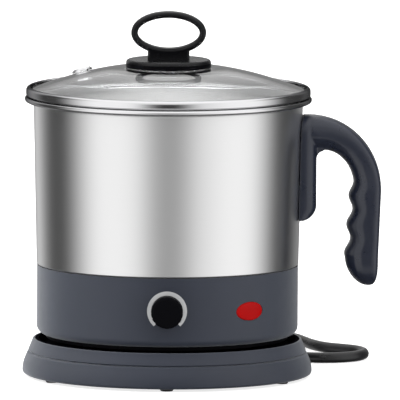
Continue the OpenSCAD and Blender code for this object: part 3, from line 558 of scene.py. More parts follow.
def brushed_steel():
    made = Shader(
        "brushed_steel", colours().steel, Metallic=1.0, Anisotropic=0.7, Anisotropic_Rotation=0.25)
    brushing = made.noise(1, 3, made.round_the_axis(along=6, up=5200))
    made.tone(brushing, 0.02)
    made.sheen(brushing, 0.30, 0.36)
    made.grain(brushing, 1e-6)
    tangent = made.node("ShaderNodeTangent", direction_type="RADIAL", axis="Z")
    made.link(tangent.outputs["Tangent"], made.surface.inputs["Tangent"])
    return made.material


def satin_steel():
    made = Shader("satin_steel", colours().satin, Metallic=0.35)
    turning = made.turning()
    made.tone(turning, 0.02)
    made.sheen(turning, 0.6, 0.7)
    return made.material


def buffed(name, tint, **constants):
    """Steel polished on the lathe, with faint turning marks."""
    made = Shader(name, tint, Metallic=1.0, **constants)
    turning = made.turning()
    made.tone(turning, 0.015)
    made.sheen(turning, 0.10, 0.15)
    made.grain(turning, 6e-7)
    return made.material


def polished_steel():
    return buffed("polished_steel", colours().chrome)


def rolled_steel():
    return buffed("rolled_steel", colours().chrome, Specular_Tint=(*colours().edge, 1))


def lid_glass():
    made = Shader("lid_glass", colours().glass, IOR=1.5, Transmission_Weight=1.0)
    smudge = made.noise(24, 4)
    made.tone(smudge, 0.01)
    made.sheen(smudge, 0.0, 0.03)
    return made.material


def red_lens():
    made = Shader("red_lens", colours().lamp, IOR=1.49, Specular_IOR_Level=0.06)
    clouds, patches = made.noise(110), made.noise(300)
    pebble = made.node("ShaderNodeTexVoronoi")
    pebble.inputs["Scale"].default_value = 900
    made.link(made.place, pebble.inputs["Vector"])
    made.tone(clouds, 0.18)
    made.sheen(patches, 0.18, 0.26)
    made.grain(pebble.outputs["Distance"], 1.2e-5)
    return made.material


def print_ink():
    made = Shader("print_ink", colours().ink)
    specks, patches = made.noise(500, 3), made.noise(240)
    made.tone(specks, 0.06)
    made.sheen(patches, 0.42, 0.52)
    return made.material


FINISHES = {made.__name__: made for made in (
    blue_grey_plastic, base_plastic_painted_shade, grip_plastic, black_plastic, dull_black, rubber, cord_pvc, zinc_steel,
    brass, aluminium, brushed_steel, satin_steel, polished_steel, rolled_steel, lid_glass, red_lens,
    print_ink)}


def finish(name):
    """The named finish, made the first time that it is asked for."""
    return bpy.data.materials.get(FINISH_PREFIX + name) or FINISHES[name]()


def add_piece(name, data, body, nodes, slot, look=None):
    """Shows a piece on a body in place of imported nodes, in its slot's finish or another look."""
    piece = bpy.data.objects.new(name, data)
    bpy.context.scene.collection.objects.link(piece)
    data.materials.clear()
    data.materials.append(finish(look or slot))
    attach(piece, body)
    if nodes:
        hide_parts(*nodes)
    return piece


# Stage

class KETTLE_OT_stage(bpy.types.Operator):
    """Camera, white floor and even studio light"""

    bl_idname = "kettle.stage"
    bl_label = "Studio"

    # Sines of the heights between which each panel of the surroundings fades in
    overhead = (0.5, 0.8)
    rear_height = (0.12, 0.3)
    table_edge = (-0.5, -0.75)
    # Bearings in degrees between which the panel right behind the kettle fades in
    rear_bearing = (169, 178)
    # Way to the light that comes in through the glass, and the shares of it where that fades in
    front_and_up = (0, -0.7, 0.7)
    front_edge = (-0.35, 0.25)
    # Shares of the dark camera's half width and half height from which it fades out
    lens_soft_wide = 0.1
    lens_soft_high = 0.5

    def execute(self, context):
        self.add_camera(studio())
        self.add_floor(studio())
        self.add_world(studio())
        context.scene.view_settings.view_transform = "Standard"
        return {"FINISHED"}

    def add_camera(self, setup):
        lens = bpy.data.cameras.new("camera")
        lens.sensor_width = 36
        lens.lens = lens.sensor_width * setup.distance / setup.width
        lens.clip_end = 100
        camera = bpy.data.objects.new("camera", lens)
        bpy.context.scene.collection.objects.link(camera)
        aim = Vector((setup.aim_right, 0, setup.aim_up))
        back = Vector((0, -math.cos(setup.lift), math.sin(setup.lift)))
        camera.location = aim + back * setup.distance
        level = (-back).to_track_quat("-Z", "Y")
        camera.rotation_euler = (level @ Quaternion((0, 0, 1), setup.roll)).to_euler()
        bpy.context.scene.camera = camera

    def add_floor(self, setup):
        """Paper that is white to the camera and takes the kettle's shadow."""
        reach, under, fibres, uneven = 3.0, -0.0002, 300, 0.005
        mesh = bpy.data.meshes.new("floor")
        mesh.from_pydata([(-reach, -reach, under), (reach, -reach, under), (reach, reach, under),
                          (-reach, reach, under)], [], [(0, 1, 2, 3)])
        floor = bpy.data.objects.new("floor", mesh)
        bpy.context.scene.collection.objects.link(floor)
        made = bpy.data.materials.new("floor_paper")
        made.use_nodes = True
        tree = made.node_tree
        tree.nodes.clear()
        place = tree.nodes.new("ShaderNodeTexCoord")
        fibre = tree.nodes.new("ShaderNodeTexNoise")
        fibre.inputs["Scale"].default_value = fibres
        tone = tree.nodes.new("ShaderNodeMapRange")
        tone.inputs["To Min"].default_value = setup.floor * (1 - uneven)
        tone.inputs["To Max"].default_value = setup.floor * (1 + uneven)
        paper = tree.nodes.new("ShaderNodeBsdfDiffuse")
        ray = tree.nodes.new("ShaderNodeLightPath")
        lift = self.math_node(tree, "MULTIPLY", setup.floor_lift)
        glow = tree.nodes.new("ShaderNodeEmission")
        both = tree.nodes.new("ShaderNodeAddShader")
        out = tree.nodes.new("ShaderNodeOutputMaterial")
        for source, target in (
                (place.outputs["Object"], fibre.inputs["Vector"]),
                (fibre.outputs["Fac"], tone.inputs["Value"]),
                (tone.outputs["Result"], paper.inputs["Color"]),
                (ray.outputs["Is Camera Ray"], lift.inputs[0]),
                (lift.outputs[0], glow.inputs["Strength"]),
                (paper.outputs[0], both.inputs[0]),
                (glow.outputs[0], both.inputs[1]),
                (both.outputs[0], out.inputs["Surface"])):
            tree.links.new(source, target)
        mesh.materials.append(made)
        floor.visible_glossy = False

    def add_world(self, setup):
        """White to the camera, soft lamps to matt surfaces, panels and flags in reflections."""
        world = bpy.data.worlds.new("studio")
        world.use_nodes = True
        world.cycles.sampling_method = "NONE"
        bpy.context.scene.world = world
        tree = world.node_tree
        tree.nodes.clear()
        place = tree.nodes.new("ShaderNodeTexCoord")
        parts = tree.nodes.new("ShaderNodeSeparateXYZ")
        ahead = self.math_node(tree, "MULTIPLY", -1)
        bearing = self.math_node(tree, "ARCTAN2")
        compass = tree.nodes.new("ShaderNodeMapRange")
        compass.inputs["From Min"].default_value = -math.pi
        compass.inputs["From Max"].default_value = math.pi
        mirror = self.surround(tree, compass.outputs["Result"], self.mirror_stops(setup))
        self.darken(tree, mirror, bearing.outputs[0], parts.outputs["Z"], setup)
        soft = self.surround(tree, compass.outputs["Result"], self.soft_stops(setup))
        forward = tree.nodes.new("ShaderNodeVectorMath")
        forward.operation = "DOT_PRODUCT"
        forward.inputs[1].default_value = self.front_and_up
        front = self.rise(tree, *self.front_edge, setup.through_back, setup.through_front)
        over = self.rise(tree, *self.overhead)
        higher = self.rise(tree, *self.rear_height)
        behind = self.rise(tree, *(math.radians(degrees) for degrees in self.rear_bearing))
        under = self.rise(tree, *self.table_edge)
        aside = self.math_node(tree, "ABSOLUTE")
        rear = self.math_node(tree, "MULTIPLY")
        bright = self.math_node(tree, "MAXIMUM")
        through, white, above, table = (tree.nodes.new("ShaderNodeBackground") for _ in range(4))
        for plain in (through, white, above, table):
            plain.inputs["Color"].default_value = (1, 1, 1, 1)
        above.inputs["Strength"].default_value = setup.above
        table.inputs["Strength"].default_value = setup.table
        ray = tree.nodes.new("ShaderNodeLightPath")
        lit, mirrored, glossy, glass, direct = (tree.nodes.new("ShaderNodeMixShader") for _ in range(5))
        out = tree.nodes.new("ShaderNodeOutputWorld")
        for source, target in (
                (place.outputs["Generated"], parts.inputs[0]),
                (parts.outputs["Y"], ahead.inputs[0]),
                (parts.outputs["X"], bearing.inputs[0]),
                (ahead.outputs[0], bearing.inputs[1]),
                (bearing.outputs[0], compass.inputs["Value"]),
                (place.outputs["Generated"], forward.inputs[0]),
                (forward.outputs["Value"], front.inputs["Value"]),
                (front.outputs["Result"], through.inputs["Strength"]),
                (parts.outputs["Z"], over.inputs["Value"]),
                (parts.outputs["Z"], higher.inputs["Value"]),
                (parts.outputs["Z"], under.inputs["Value"]),
                (bearing.outputs[0], aside.inputs[0]),
                (aside.outputs[0], behind.inputs["Value"]),
                (higher.outputs["Result"], rear.inputs[0]),
                (behind.outputs["Result"], rear.inputs[1]),
                (over.outputs["Result"], bright.inputs[0]),
                (rear.outputs[0], bright.inputs[1])):
            tree.links.new(source, target)
        for mix, amount, first, second in (
                (lit, bright.outputs[0], mirror, above),
                (mirrored, under.outputs["Result"], lit, table),
                (glossy, ray.outputs["Is Glossy Ray"], soft, mirrored),
                (glass, ray.outputs["Is Transmission Ray"], glossy, through),
                (direct, ray.outputs["Is Camera Ray"], glass, white)):
            tree.links.new(amount, mix.inputs["Fac"])
            tree.links.new(first.outputs[0], mix.inputs[1])
            tree.links.new(second.outputs[0], mix.inputs[2])
        tree.links.new(direct.outputs[0], out.inputs["Surface"])

    def mirror_stops(self, setup):
        """What shiny surfaces mirror, by bearing: back wall, flags, panels and the gap between them."""
        return (
            (-180, setup.back), (-172, setup.back), (-158, setup.back_left), (-119, setup.flag),
            (-106, setup.flag), (-59, setup.panel), (-44, setup.panel), (0, setup.front), (6, setup.front),
            (60, setup.panel), (72, setup.panel), (115, setup.flag), (131, setup.flag),
            (162, setup.back_right), (172, setup.back), (180, setup.back))

    def soft_stops(self, setup):
        """What lights matt surfaces, by bearing: the room with a wide lamp at each side."""
        left, right = setup.room + setup.left, setup.room + setup.right
        return (
            (-180, setup.room), (-160, setup.room), (-132, left), (-92, left), (-65, setup.room),
            (25, setup.room), (50, right), (85, right), (110, setup.room), (180, setup.room))

    def surround(self, tree, compass, stops):
        """Background with a level at each bearing, in degrees to the right of the camera."""
        ramp = tree.nodes.new("ShaderNodeValToRGB")
        ramp.color_ramp.interpolation = "EASE"
        top = max(level for degrees, level in stops)
        marks = ramp.color_ramp.elements
        for (degrees, level), mark in zip((stops[0], stops[-1]), marks):
            mark.color = (level / top, level / top, level / top, 1)
        for degrees, level in stops[1:-1]:
            marks.new((degrees + 180) / 360).color = (level / top, level / top, level / top, 1)
        made = tree.nodes.new("ShaderNodeBackground")
        made.inputs["Strength"].default_value = top
        tree.links.new(compass, ramp.inputs["Fac"])
        tree.links.new(ramp.outputs["Color"], made.inputs["Color"])
        return made

    def math_node(self, tree, operation, *values):
        """Math node, with the values that follow its first one."""
        made = tree.nodes.new("ShaderNodeMath")
        made.operation = operation
        for socket, value in zip(made.inputs[1:], values):
            socket.default_value = value
        return made

    def rise(self, tree, start, end, low=0, high=1):
        """Smooth rise from one value to another, or fall where the end comes before the start."""
        made = tree.nodes.new("ShaderNodeMapRange")
        made.interpolation_type = "SMOOTHSTEP"
        if end < start:
            start, end, low, high = end, start, high, low
        for name, value in (("From Min", start), ("From Max", end), ("To Min", low), ("To Max", high)):
            made.inputs[name].default_value = value
        return made

    def darken(self, tree, background, bearing, height, setup):
        """Dark camera with soft edges in the middle of a background, where an upright wall mirrors it."""
        top = background.inputs["Strength"].default_value
        tall = math.sin(setup.lens_high)
        aside = self.math_node(tree, "ABSOLUTE")
        level = self.math_node(tree, "ADD", math.sin(setup.lift))
        away = self.math_node(tree, "ABSOLUTE")
        inside = self.math_node(tree, "MULTIPLY")
        shade = self.math_node(tree, "MULTIPLY_ADD", top * (setup.lens / setup.front - 1), top)
        across = self.rise(tree, setup.lens_wide, self.lens_soft_wide * setup.lens_wide)
        upright = self.rise(tree, tall, self.lens_soft_high * tall)
        for source, target in (
                (bearing, aside.inputs[0]),
                (aside.outputs[0], across.inputs["Value"]),
                (height, level.inputs[0]),
                (level.outputs[0], away.inputs[0]),
                (away.outputs[0], upright.inputs["Value"]),
                (across.outputs["Result"], inside.inputs[0]),
                (upright.outputs["Result"], inside.inputs[1]),
                (inside.outputs[0], shade.inputs[0]),
                (shade.outputs[0], background.inputs["Strength"])):
            tree.links.new(source, target)


# Mains lead

class KETTLE_OT_lead(bpy.types.Operator):
    """Mains lead with its strain relief, tie and plug"""

    bl_idname = "kettle.lead"
    bl_label = "Mains lead"

    def execute(self, context):
        relief = self.add_relief()
        tie = self.add_tie()
        plug = self.add_plug()
        line = bpy.data.curves.new("mains_lead", "CURVE")
        line.dimensions = "3D"
        line.resolution_u = 6
        line.bevel_depth = sizes().lead / 2
        line.bevel_resolution = 5
        line.use_fill_caps = True
        route = [Vector(p) for p in LEAD_ROUTE] + self.coil_points() + [Vector(p) for p in TAIL_ROUTE]
        spline = line.splines.new("BEZIER")
        spline.bezier_points.add(len(route) - 1)
        for knot, point in zip(spline.bezier_points, route):
            knot.co = point * MM
            knot.handle_left_type = knot.handle_right_type = "AUTO"
        lead = add_piece(
            "mains_lead", line, "power_base", ["cord_lead", "cord_coil", "cord_tail"], "cord_pvc")
        return {"FINISHED"}

    def coil_bearing(self, turn):
        return math.radians(COIL_FROM - 360 * turn)

    def coil_radius(self, turn):
        """Radius that shrinks to the middle of the coil's length and grows again."""
        half = COIL_TURNS / 2
        return COIL_RADIUS - COIL_PITCH * (half - abs(turn - half))

    def coil_at(self, turn):
        """Place on the coil, which climbs to its second layer in half a turn at the middle."""
        bearing, radius = self.coil_bearing(turn), self.coil_radius(turn)
        climb_turns = 0.5
        climb = min(1, max(0, (turn - COIL_TURNS / 2) / climb_turns + 0.5))
        out = Vector((radius * math.cos(bearing), radius * math.sin(bearing), COIL_PITCH * climb))
        return Vector((*COIL_CENTRE, COIL_HEIGHT)) + out

    def coil_points(self):
        """Piled loops that spiral in, climb a layer and spiral out again."""
        diameter = sizes().lead / MM
        ends = []
        for turn, way in ((0, -1), (COIL_TURNS, 1)):
            bearing = self.coil_bearing(turn)
            along = Vector((math.sin(bearing), -math.cos(bearing), 0))
            ends.append(self.coil_at(turn) + way * diameter * along)
        loops = [self.coil_at(COIL_TURNS * k / COIL_STEPS) for k in range(COIL_STEPS + 1)]
        return ends[:1] + loops + ends[1:]

    def add_relief(self):
        """Sleeve with a flange in the base's wall and ribs that thin out along the lead."""
        low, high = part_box("strain_relief")
        centre = (low.z + high.z) / 2
        flange = (high.x - low.x) / 2
        flange_thick, step, end, edge = 0.003, 0.0006, 0.0037, 0.0003
        ribs, ribbed, groove, rib_edge = 4, 0.0203, 0.0002, 0.00025
        body, taper = flange - step, high.y - ribbed
        outline = [(0, low.y, 0), (flange, low.y, edge), (flange, low.y + flange_thick, edge),
                   (body, low.y + flange_thick, 0), (body, taper, edge)]
        pitch = ribbed / (ribs + 0.5)
        for k in range(ribs):
            start = taper + pitch * (k + 0.5)
            stop = start + pitch / 2
            for along, inner in ((start, False), (start, True), (stop, True), (stop, False)):
                outer = body + (end - body) * (along - taper) / ribbed
                outline.append((end - groove if inner else outer, along, rib_edge))
        outline += [(end, high.y, edge), (0, high.y, 0)]
        mesh = turned(lathe("strain_relief", rounded(outline, 3), 48),
                      lambda p: Vector((p.x, p.z, centre - p.y)))
        return add_piece("relief_sleeve", mesh, "power_base", ["strain_relief"], "cord_pvc")

    def add_tie(self):
        """Strap round the coil's strands where they lie side by side."""
        turn = COIL_TURNS / 2 - math.floor(COIL_TURNS) / 2
        bearing = self.coil_bearing(turn)
        out = Vector((math.cos(bearing), math.sin(bearing), 0))
        along = Vector((-out.y, out.x, 0))
        middle = Vector((*COIL_CENTRE, COIL_HEIGHT + COIL_PITCH / 2)) + out * (
            self.coil_radius(turn) - COIL_PITCH / 2)
        slack, strap, wide, bend = 1.2, 0.6, 8.0, 3.6
        inner = (COIL_PITCH + sizes().lead / MM + slack) / 2
        rings = []
        for thick, place in ((strap, -wide / 2), (strap, wide / 2), (0, wide / 2), (0, -wide / 2)):
            reach, corner = inner + thick, bend + thick
            outline = rounded([(-reach, -reach, corner), (reach, -reach, corner), (reach, reach, corner),
                               (-reach, reach, corner)], 8)
            rings.append([(middle + out * x + along * place + Vector((0, 0, z))) * MM for x, z in outline])
        mesh = loft("lead_tie", rings, closed=True)
        return add_piece("lead_tie", mesh, "power_base", ["cord_tie"], "rubber")

    def add_plug(self):
        """Plug body: a grooved sleeve that widens to a three-cornered grip."""
        low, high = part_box("plug_body")
        middle = Vector((low.x, (low.y + high.y) / 2, TAIL_ROUTE[-1][2] * MM))
        corner, gauge, under, rise, crown_in = 0.0086, 0.01905, 0.009, 0.0222, 0.001
        crown = Vector((0, rise - under - crown_in))
        centres = [Vector((-gauge / 2, -under)), Vector((gauge / 2, -under)), crown]
        reach = high.x - low.x
        neck_wall, steps = 0.0025, 72
        neck = sizes().lead / 2 + neck_wall

        def section(along, widened, shrink):
            """Ring round the plug, from the sleeve's circle to the grip's full form."""
            ring = []
            for k in range(steps):
                turn = 2 * math.pi * k / steps
                way = Vector((math.cos(turn), math.sin(turn)))
                full = max(centres, key=lambda c: c.dot(way)) + way * corner
                point = (way * neck).lerp(full, widened) * (1 - shrink)
                ring.append((low.x + along, middle.y + point.x, middle.z + point.y))
            return ring

        def grooves(count, start, pitch, profile, widened):
            """Equal grooves of a profile, one after another."""
            return [section(start + pitch * k + along, widened, shrink)
                    for k in range(count) for along, shrink in profile]

        body_from, body_full, edge, front_in = 0.0084, 0.021, 0.0012, 0.07
        widening, shoulder, edge_steps = 12, 1.2, 5
        sleeve_end = ((0, 0.12), (0.0008, 0.03), (0.0022, 0))
        sleeve_from, sleeve_pitch, sleeve_groove = 0.0026, 0.0011, ((0, 0.09), (0.0005, 0.09), (0.0007, 0))
        grip_pitch, grip_groove = 0.0022, ((0, 0), (0.0005, 0.025), (0.0011, 0.025), (0.0016, 0))
        rings = [section(along, 0, shrink) for along, shrink in sleeve_end]
        rings += grooves(5, sleeve_from, sleeve_pitch, sleeve_groove, 0)
        for k in range(widening + 1):
            way = k / widening
            along = body_from + (body_full - body_from) * way
            rings.append(section(along, math.sin(way * math.pi / 2) ** shoulder, 0))
        rings += grooves(4, body_full + grip_pitch, grip_pitch, grip_groove, 1)
        for k in range(edge_steps + 1):
            way = math.pi / 2 * k / edge_steps
            rings.append(section(reach - edge + edge * math.sin(way), 1, front_in * (1 - math.cos(way))))
        mesh = loft("plug", rings, sharp=45)
        return add_piece("plug", mesh, "power_base", ["plug_body"], "cord_pvc")


# Pot and body

class KETTLE_OT_pot(bpy.types.Operator):
    """Steel pot with its rolled rim"""

    bl_idname = "kettle.pot"
    bl_label = "Pot"

    def execute(self, context):
        size = sizes()
        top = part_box("pot")[1]
        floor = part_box("heat_plate")[1].z
        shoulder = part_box("shell_seal")[1].z
        bead_at = (top.x - size.bead, top.z - size.bead)
        wall_top = bead_at[0] - size.ledge - size.flare
        wall_low = wall_top - size.draft
        seal_lap, chamfer, facing_up, wall_steps = 0.0025, 0.0006, 0.5, 8
        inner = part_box("shell_seal")[1].x - seal_lap
        flare_at = (wall_top + size.flare, bead_at[1] - size.sheet / 2 - size.flare)
        bend_at = (inner - size.pot_bend, floor + size.pot_bend)
        slit = math.degrees(math.asin(size.sheet / 2 / size.bead))
        step = 2 * size.sheet
        outline = (
            [(0, floor)] + arc(bend_at, size.pot_bend, -90, 0, 12)
            + [(inner, shoulder), (wall_low - chamfer, shoulder), (wall_low, shoulder + chamfer)]
            + [(wall_low + (wall_top - wall_low) * k / wall_steps,
                shoulder + (flare_at[1] - shoulder) * k / wall_steps) for k in range(1, wall_steps)]
            + arc(flare_at, size.flare, 180, 90, 12)
            + arc(bead_at, size.bead, 180 + slit, 540 - slit, 32)
            + arc(flare_at, size.flare + size.sheet, 90, 180, 12)
            + [(wall_low - size.sheet, shoulder + step), (wall_low - step, shoulder + size.sheet),
               (inner - size.sheet, shoulder + size.sheet)]
            + arc(bend_at, size.pot_bend - size.sheet, 0, -90, 12) + [(0, floor + size.sheet)])
        mesh = lathe("pot", outline, steps=240, sharp=40)
        add_piece("steel_pot", mesh, "kettle", ["pot"], "brushed_steel")
        mesh.materials.append(finish("satin_steel"))
        mesh.materials.append(finish("rolled_steel"))
        outside, inside, rim = range(3)
        for face in mesh.polygons:
            inward = face.normal.x * face.center.x + face.normal.y * face.center.y < 0
            if math.hypot(face.center.x, face.center.y) >= wall_top + size.sheet:
                face.material_index = rim
            elif inward or face.normal.z > facing_up:
                face.material_index = inside
            else:
                face.material_index = outside
        return {"FINISHED"}


class KETTLE_OT_dial(bpy.types.Operator):
    """Dial knob and the printed arc round it"""

    bl_idname = "kettle.dial"
    bl_label = "Dial"

    def execute(self, context):
        low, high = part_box("dial_knob")
        radius, height = (high.x - low.x) / 2, (high.z + low.z) / 2
        depth = high.y - low.y
        edge, flutes, flute_deep, flute_steps = 0.0016, 18, 0.00025, 16
        skirt, step, low_edge = 0.0015, 0.0004, 0.0003
        socket_wide, socket_deep = 0.0069, 0.004
        rim_sunk, face_sunk, fluted = 0.0001, 0.0003, edge * 1.2
        outline = (
            [(0, socket_deep), (socket_wide, socket_deep), (socket_wide, 0)]
            + [(radius - low_edge, 0), (radius, low_edge), (radius, skirt), (radius, skirt + step)]
            + arc((radius - edge, depth - edge), edge, 0, 90, 8)
            + [(radius / 2, depth - rim_sunk), (0, depth - face_sunk)])
        knob = lathe("dial_knob", outline, steps=flutes * flute_steps, sharp=40)

        def shape(point):
            """Flutes over the skirt, and the knob laid with its axis to the front."""
            out, keep = math.hypot(point.x, point.y), 1
            if out > radius - fluted and point.z > skirt + rim_sunk:
                wave = max(0, math.cos(flutes * math.atan2(point.y, point.x))) ** 2
                fade = min(1, (out - radius + fluted) / edge)
                keep = 1 - flute_deep * wave * fade / out
            return Vector((point.x * keep, high.y - point.z, height + point.y * keep))

        add_piece("dial", turned(knob, shape), "dial", ["dial_knob"], "black_plastic", "dull_black")
        self.add_arc(height)
        return {"FINISHED"}

    def add_arc(self, height):
        """Printed arc, laid round the shell."""
        size = sizes()
        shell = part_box("body_shell")[1].x
        steps, lift, thick = 120, 0.00008, 0.0002
        outer, inner = size.arc_radius, size.arc_radius - size.arc_width
        rings = []
        for k in range(steps + 1):
            turn = -math.pi / 2 + size.arc_gap / 2 + (2 * math.pi - size.arc_gap) * k / steps
            ring = []
            for out, stand in ((outer, lift), (inner, lift), (inner, lift - thick), (outer, lift - thick)):
                round_shell, reach = out * math.cos(turn) / shell, shell + stand
                ring.append((reach * math.sin(round_shell), -reach * math.cos(round_shell),
                             height + out * math.sin(turn)))
            rings.append(ring)
        mesh = loft("dial_arc", rings)
        add_piece("dial_arc", mesh, "kettle", [], "blue_grey_plastic", "print_ink")


class KETTLE_OT_lamp(bpy.types.Operator):
    """Domed red lens of the pilot lamp"""

    bl_idname = "kettle.lamp"
    bl_label = "Pilot lamp"

    def execute(self, context):
        low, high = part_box("pilot_lens")
        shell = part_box("body_shell")[1].x
        height = (low.z + high.z) / 2
        half_wide, half_high, proud, dome, edge = 0.010, 0.0055, 0.0012, 0.030, 0.0006
        back, flange, flange_thick = 0.0745, 1.15, 0.0016
        steps, rims, last_rim, edge_from = 96, 16, 0.985, 0.9
        turn = sizes().lamp_turn
        out = Vector((math.sin(turn), -math.cos(turn), 0))
        side = Vector((math.cos(turn), math.sin(turn), 0))

        def ring(part, reach):
            """Oval of a part of the lens's size, standing out by what reach gives for each place."""
            made = []
            for k in range(steps):
                around = 2 * math.pi * k / steps
                x, z = half_wide * part * math.cos(around), half_high * part * math.sin(around)
                made.append(out * reach(x, z) + side * x + Vector((0, 0, height + z)))
            return made

        rings = [ring(part, lambda x, z: reach)
                 for part, reach in ((flange, back - flange_thick), (flange, back), (1, back))]
        for r in range(rims + 1):
            part = math.cos(math.pi / 2 * r / rims * last_rim)
            sunk = edge * (max(0, part - edge_from) / (1 - edge_from)) ** 3
            rings.append(ring(
                part, lambda x, z: shell + proud - dome + math.sqrt(dome ** 2 - x * x - z * z) - sunk))
        mesh = loft("lamp_lens", rings, sharp=50)
        add_piece("lamp_lens", mesh, "kettle", ["pilot_lens"], "red_lens")
        return {"FINISHED"}


# Handle

class KETTLE_OT_handle(bpy.types.Operator):
    """Open handle with finger waves, blended into its pad on the pot"""

    bl_idname = "kettle.handle"
    bl_label = "Handle"

    # Sizes in millimetres
    handle_high = 102.6
    grip_out = 127.7
    grip_thick = 16.5
    grip_wide = 25.0
    bend_drop = 45.3
    outer_bend_x = 84.0
    inner_bend_x = 93.0
    inner_bend_up = 2.0
    arm_thick = 21.3
    pad_high = 63.0
    pad_face = 88.9
    pad_wide = 27.0
    tip_high = 17.0
    tip_x = 119.5
    wave_pitch = 17.4
    wave_depth = 3.0
    wave_start_up = 6.0
    # How much the grip's faces draw in for each millimetre down
    lean_out = 0.04
    lean_in = 0.07
    # Power of the section's outer edge, on the arm and on the grip
    soft_edge = 2.5
    tight_edge = 6.0

    def execute(self, context):
        self.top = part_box("handle")[1].z / MM
        self.low = self.top - self.handle_high
        self.bend_at = self.top - self.bend_drop
        self.arm_under = self.top - self.arm_thick
        self.tip_from = self.low + self.tip_high
        parts = [self.skin("handle", self.rings()), self.skin("pad", self.pad_rings()), self.fillet()]
        whole = blended(joined("handle", parts), sizes().handle_voxel, passes=6)
        mesh = combined(whole, self.screw_wells(), "DIFFERENCE", sharp=50)
        add_piece("handle_grip", mesh, "kettle", ["handle"], "blue_grey_plastic", "grip_plastic")
        return {"FINISHED"}

    def skin(self, name, rings):
        """Mesh over rings that are in millimetres."""
        return loft(name, [[Vector(p) * MM for p in ring] for ring in rings], sharp=60)

    def screw_wells(self):
        """Wells from the front, down to the heads of the screws in the bracket."""
        head_thick, head_radius, radius, reach = 0.0018, 0.003, 0.0033, 0.02
        low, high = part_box("handle_screws")
        return [rod("well", (high.x - head_thick, 0, height), (1, 0, 0), radius, reach)
                for height in (low.z + head_radius, high.z - head_radius)]

    def outer(self, turn):
        """Outer line of the bend, at an angle from the level."""
        return (self.outer_bend_x + (self.grip_out - self.outer_bend_x) * math.cos(turn),
                self.bend_at + self.bend_drop * math.sin(turn))

    def inner(self, turn):
        """Inner line of the bend, at an angle from the level."""
        start = self.bend_at + self.inner_bend_up
        z = start + (self.arm_under - start) * math.sin(turn)
        reach = self.grip_out - self.grip_thick - self.inner_bend_x
        return self.inner_bend_x + reach * math.cos(turn) - self.wave(z), z

    def wave(self, z):
        """How far the finger waves stand out at a height."""
        below = min(0, z - self.bend_at - self.wave_start_up)
        return self.wave_depth / 2 * (1 - math.cos(2 * math.pi * below / self.wave_pitch))

    def grip_in(self, z):
        """Finger side of the grip at a height."""
        return self.grip_out - self.grip_thick - self.wave(z) - (self.bend_at - z) * self.lean_in

    def grip_far(self, z):
        """Outer face of the grip at a height."""
        return self.grip_out - (self.bend_at - z) * self.lean_out

    def ring(self, far, near, wide, power, steps=72):
        """Section: flat front and back, a tight outer edge, a crease and a round finger side."""
        middle = ((far[0] + near[0]) / 2, (far[1] + near[1]) / 2)
        half = ((far[0] - near[0]) / 2, (far[1] - near[1]) / 2)
        flat, crease = 0.2, math.sin(math.radians(25))
        points = []
        for k in range(steps):
            turn = 2 * math.pi * k / steps
            x, y = squared(math.cos(turn), power), squared(math.sin(turn), power)
            if math.cos(turn) < 0:
                lean = crease + (1 - crease) * max(0, -x - flat) / (1 - flat)
                across = math.sqrt(max(0, 1 - lean * lean) / (1 - crease * crease))
                y = math.copysign(across, math.sin(turn))
            points.append((middle[0] + half[0] * x, wide / 2 * y, middle[1] + half[1] * x))
        return points

    def rings(self):
        """Sections from the pad along the arm, down the grip and to the tip."""
        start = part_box("handle_bracket")[1].x / MM
        start_lean, waist, last = 2.5, 0.12, 0.985
        wide, soft, tight = self.grip_wide, self.soft_edge, self.tight_edge
        arm_steps, grip_steps, tip_steps = 30, 64, 24
        near_close, far_close, side_close = (1.8, 0.56), (3, 0.33), (2.6, 0.4)
        made = [self.ring((start - start_lean, self.top), (start, self.arm_under), wide, soft)]
        for k in range(arm_steps + 1):
            turn = math.pi / 2 * (1 - k / arm_steps)
            made.append(self.ring(self.outer(turn), self.inner(turn),
                                  wide * (1 - waist * math.sin(math.pi * k / arm_steps)),
                                  soft + (tight - soft) * ease(k / arm_steps)))
        for k in range(1, grip_steps + 1):
            z = self.bend_at + (self.tip_from - self.bend_at) * k / grip_steps
            made.append(self.ring((self.grip_far(z), z), (self.grip_in(z), z), wide, tight))
        for k in range(1, tip_steps + 1):
            way = k / tip_steps * last
            z = self.tip_from + (self.low - self.tip_from) * way
            near = self.tip_x + (self.grip_in(self.tip_from) - self.tip_x) * self.closing(way, *near_close)
            far = self.tip_x + (self.grip_far(self.tip_from) - self.tip_x) * self.closing(way, *far_close)
            made.append(self.ring((far, z), (near, z), wide * self.closing(way, *side_close), tight))
        return made

    def closing(self, way, power, root):
        """Share of a size that is left on the way to the end, as an oval closes."""
        return (1 - way ** power) ** root

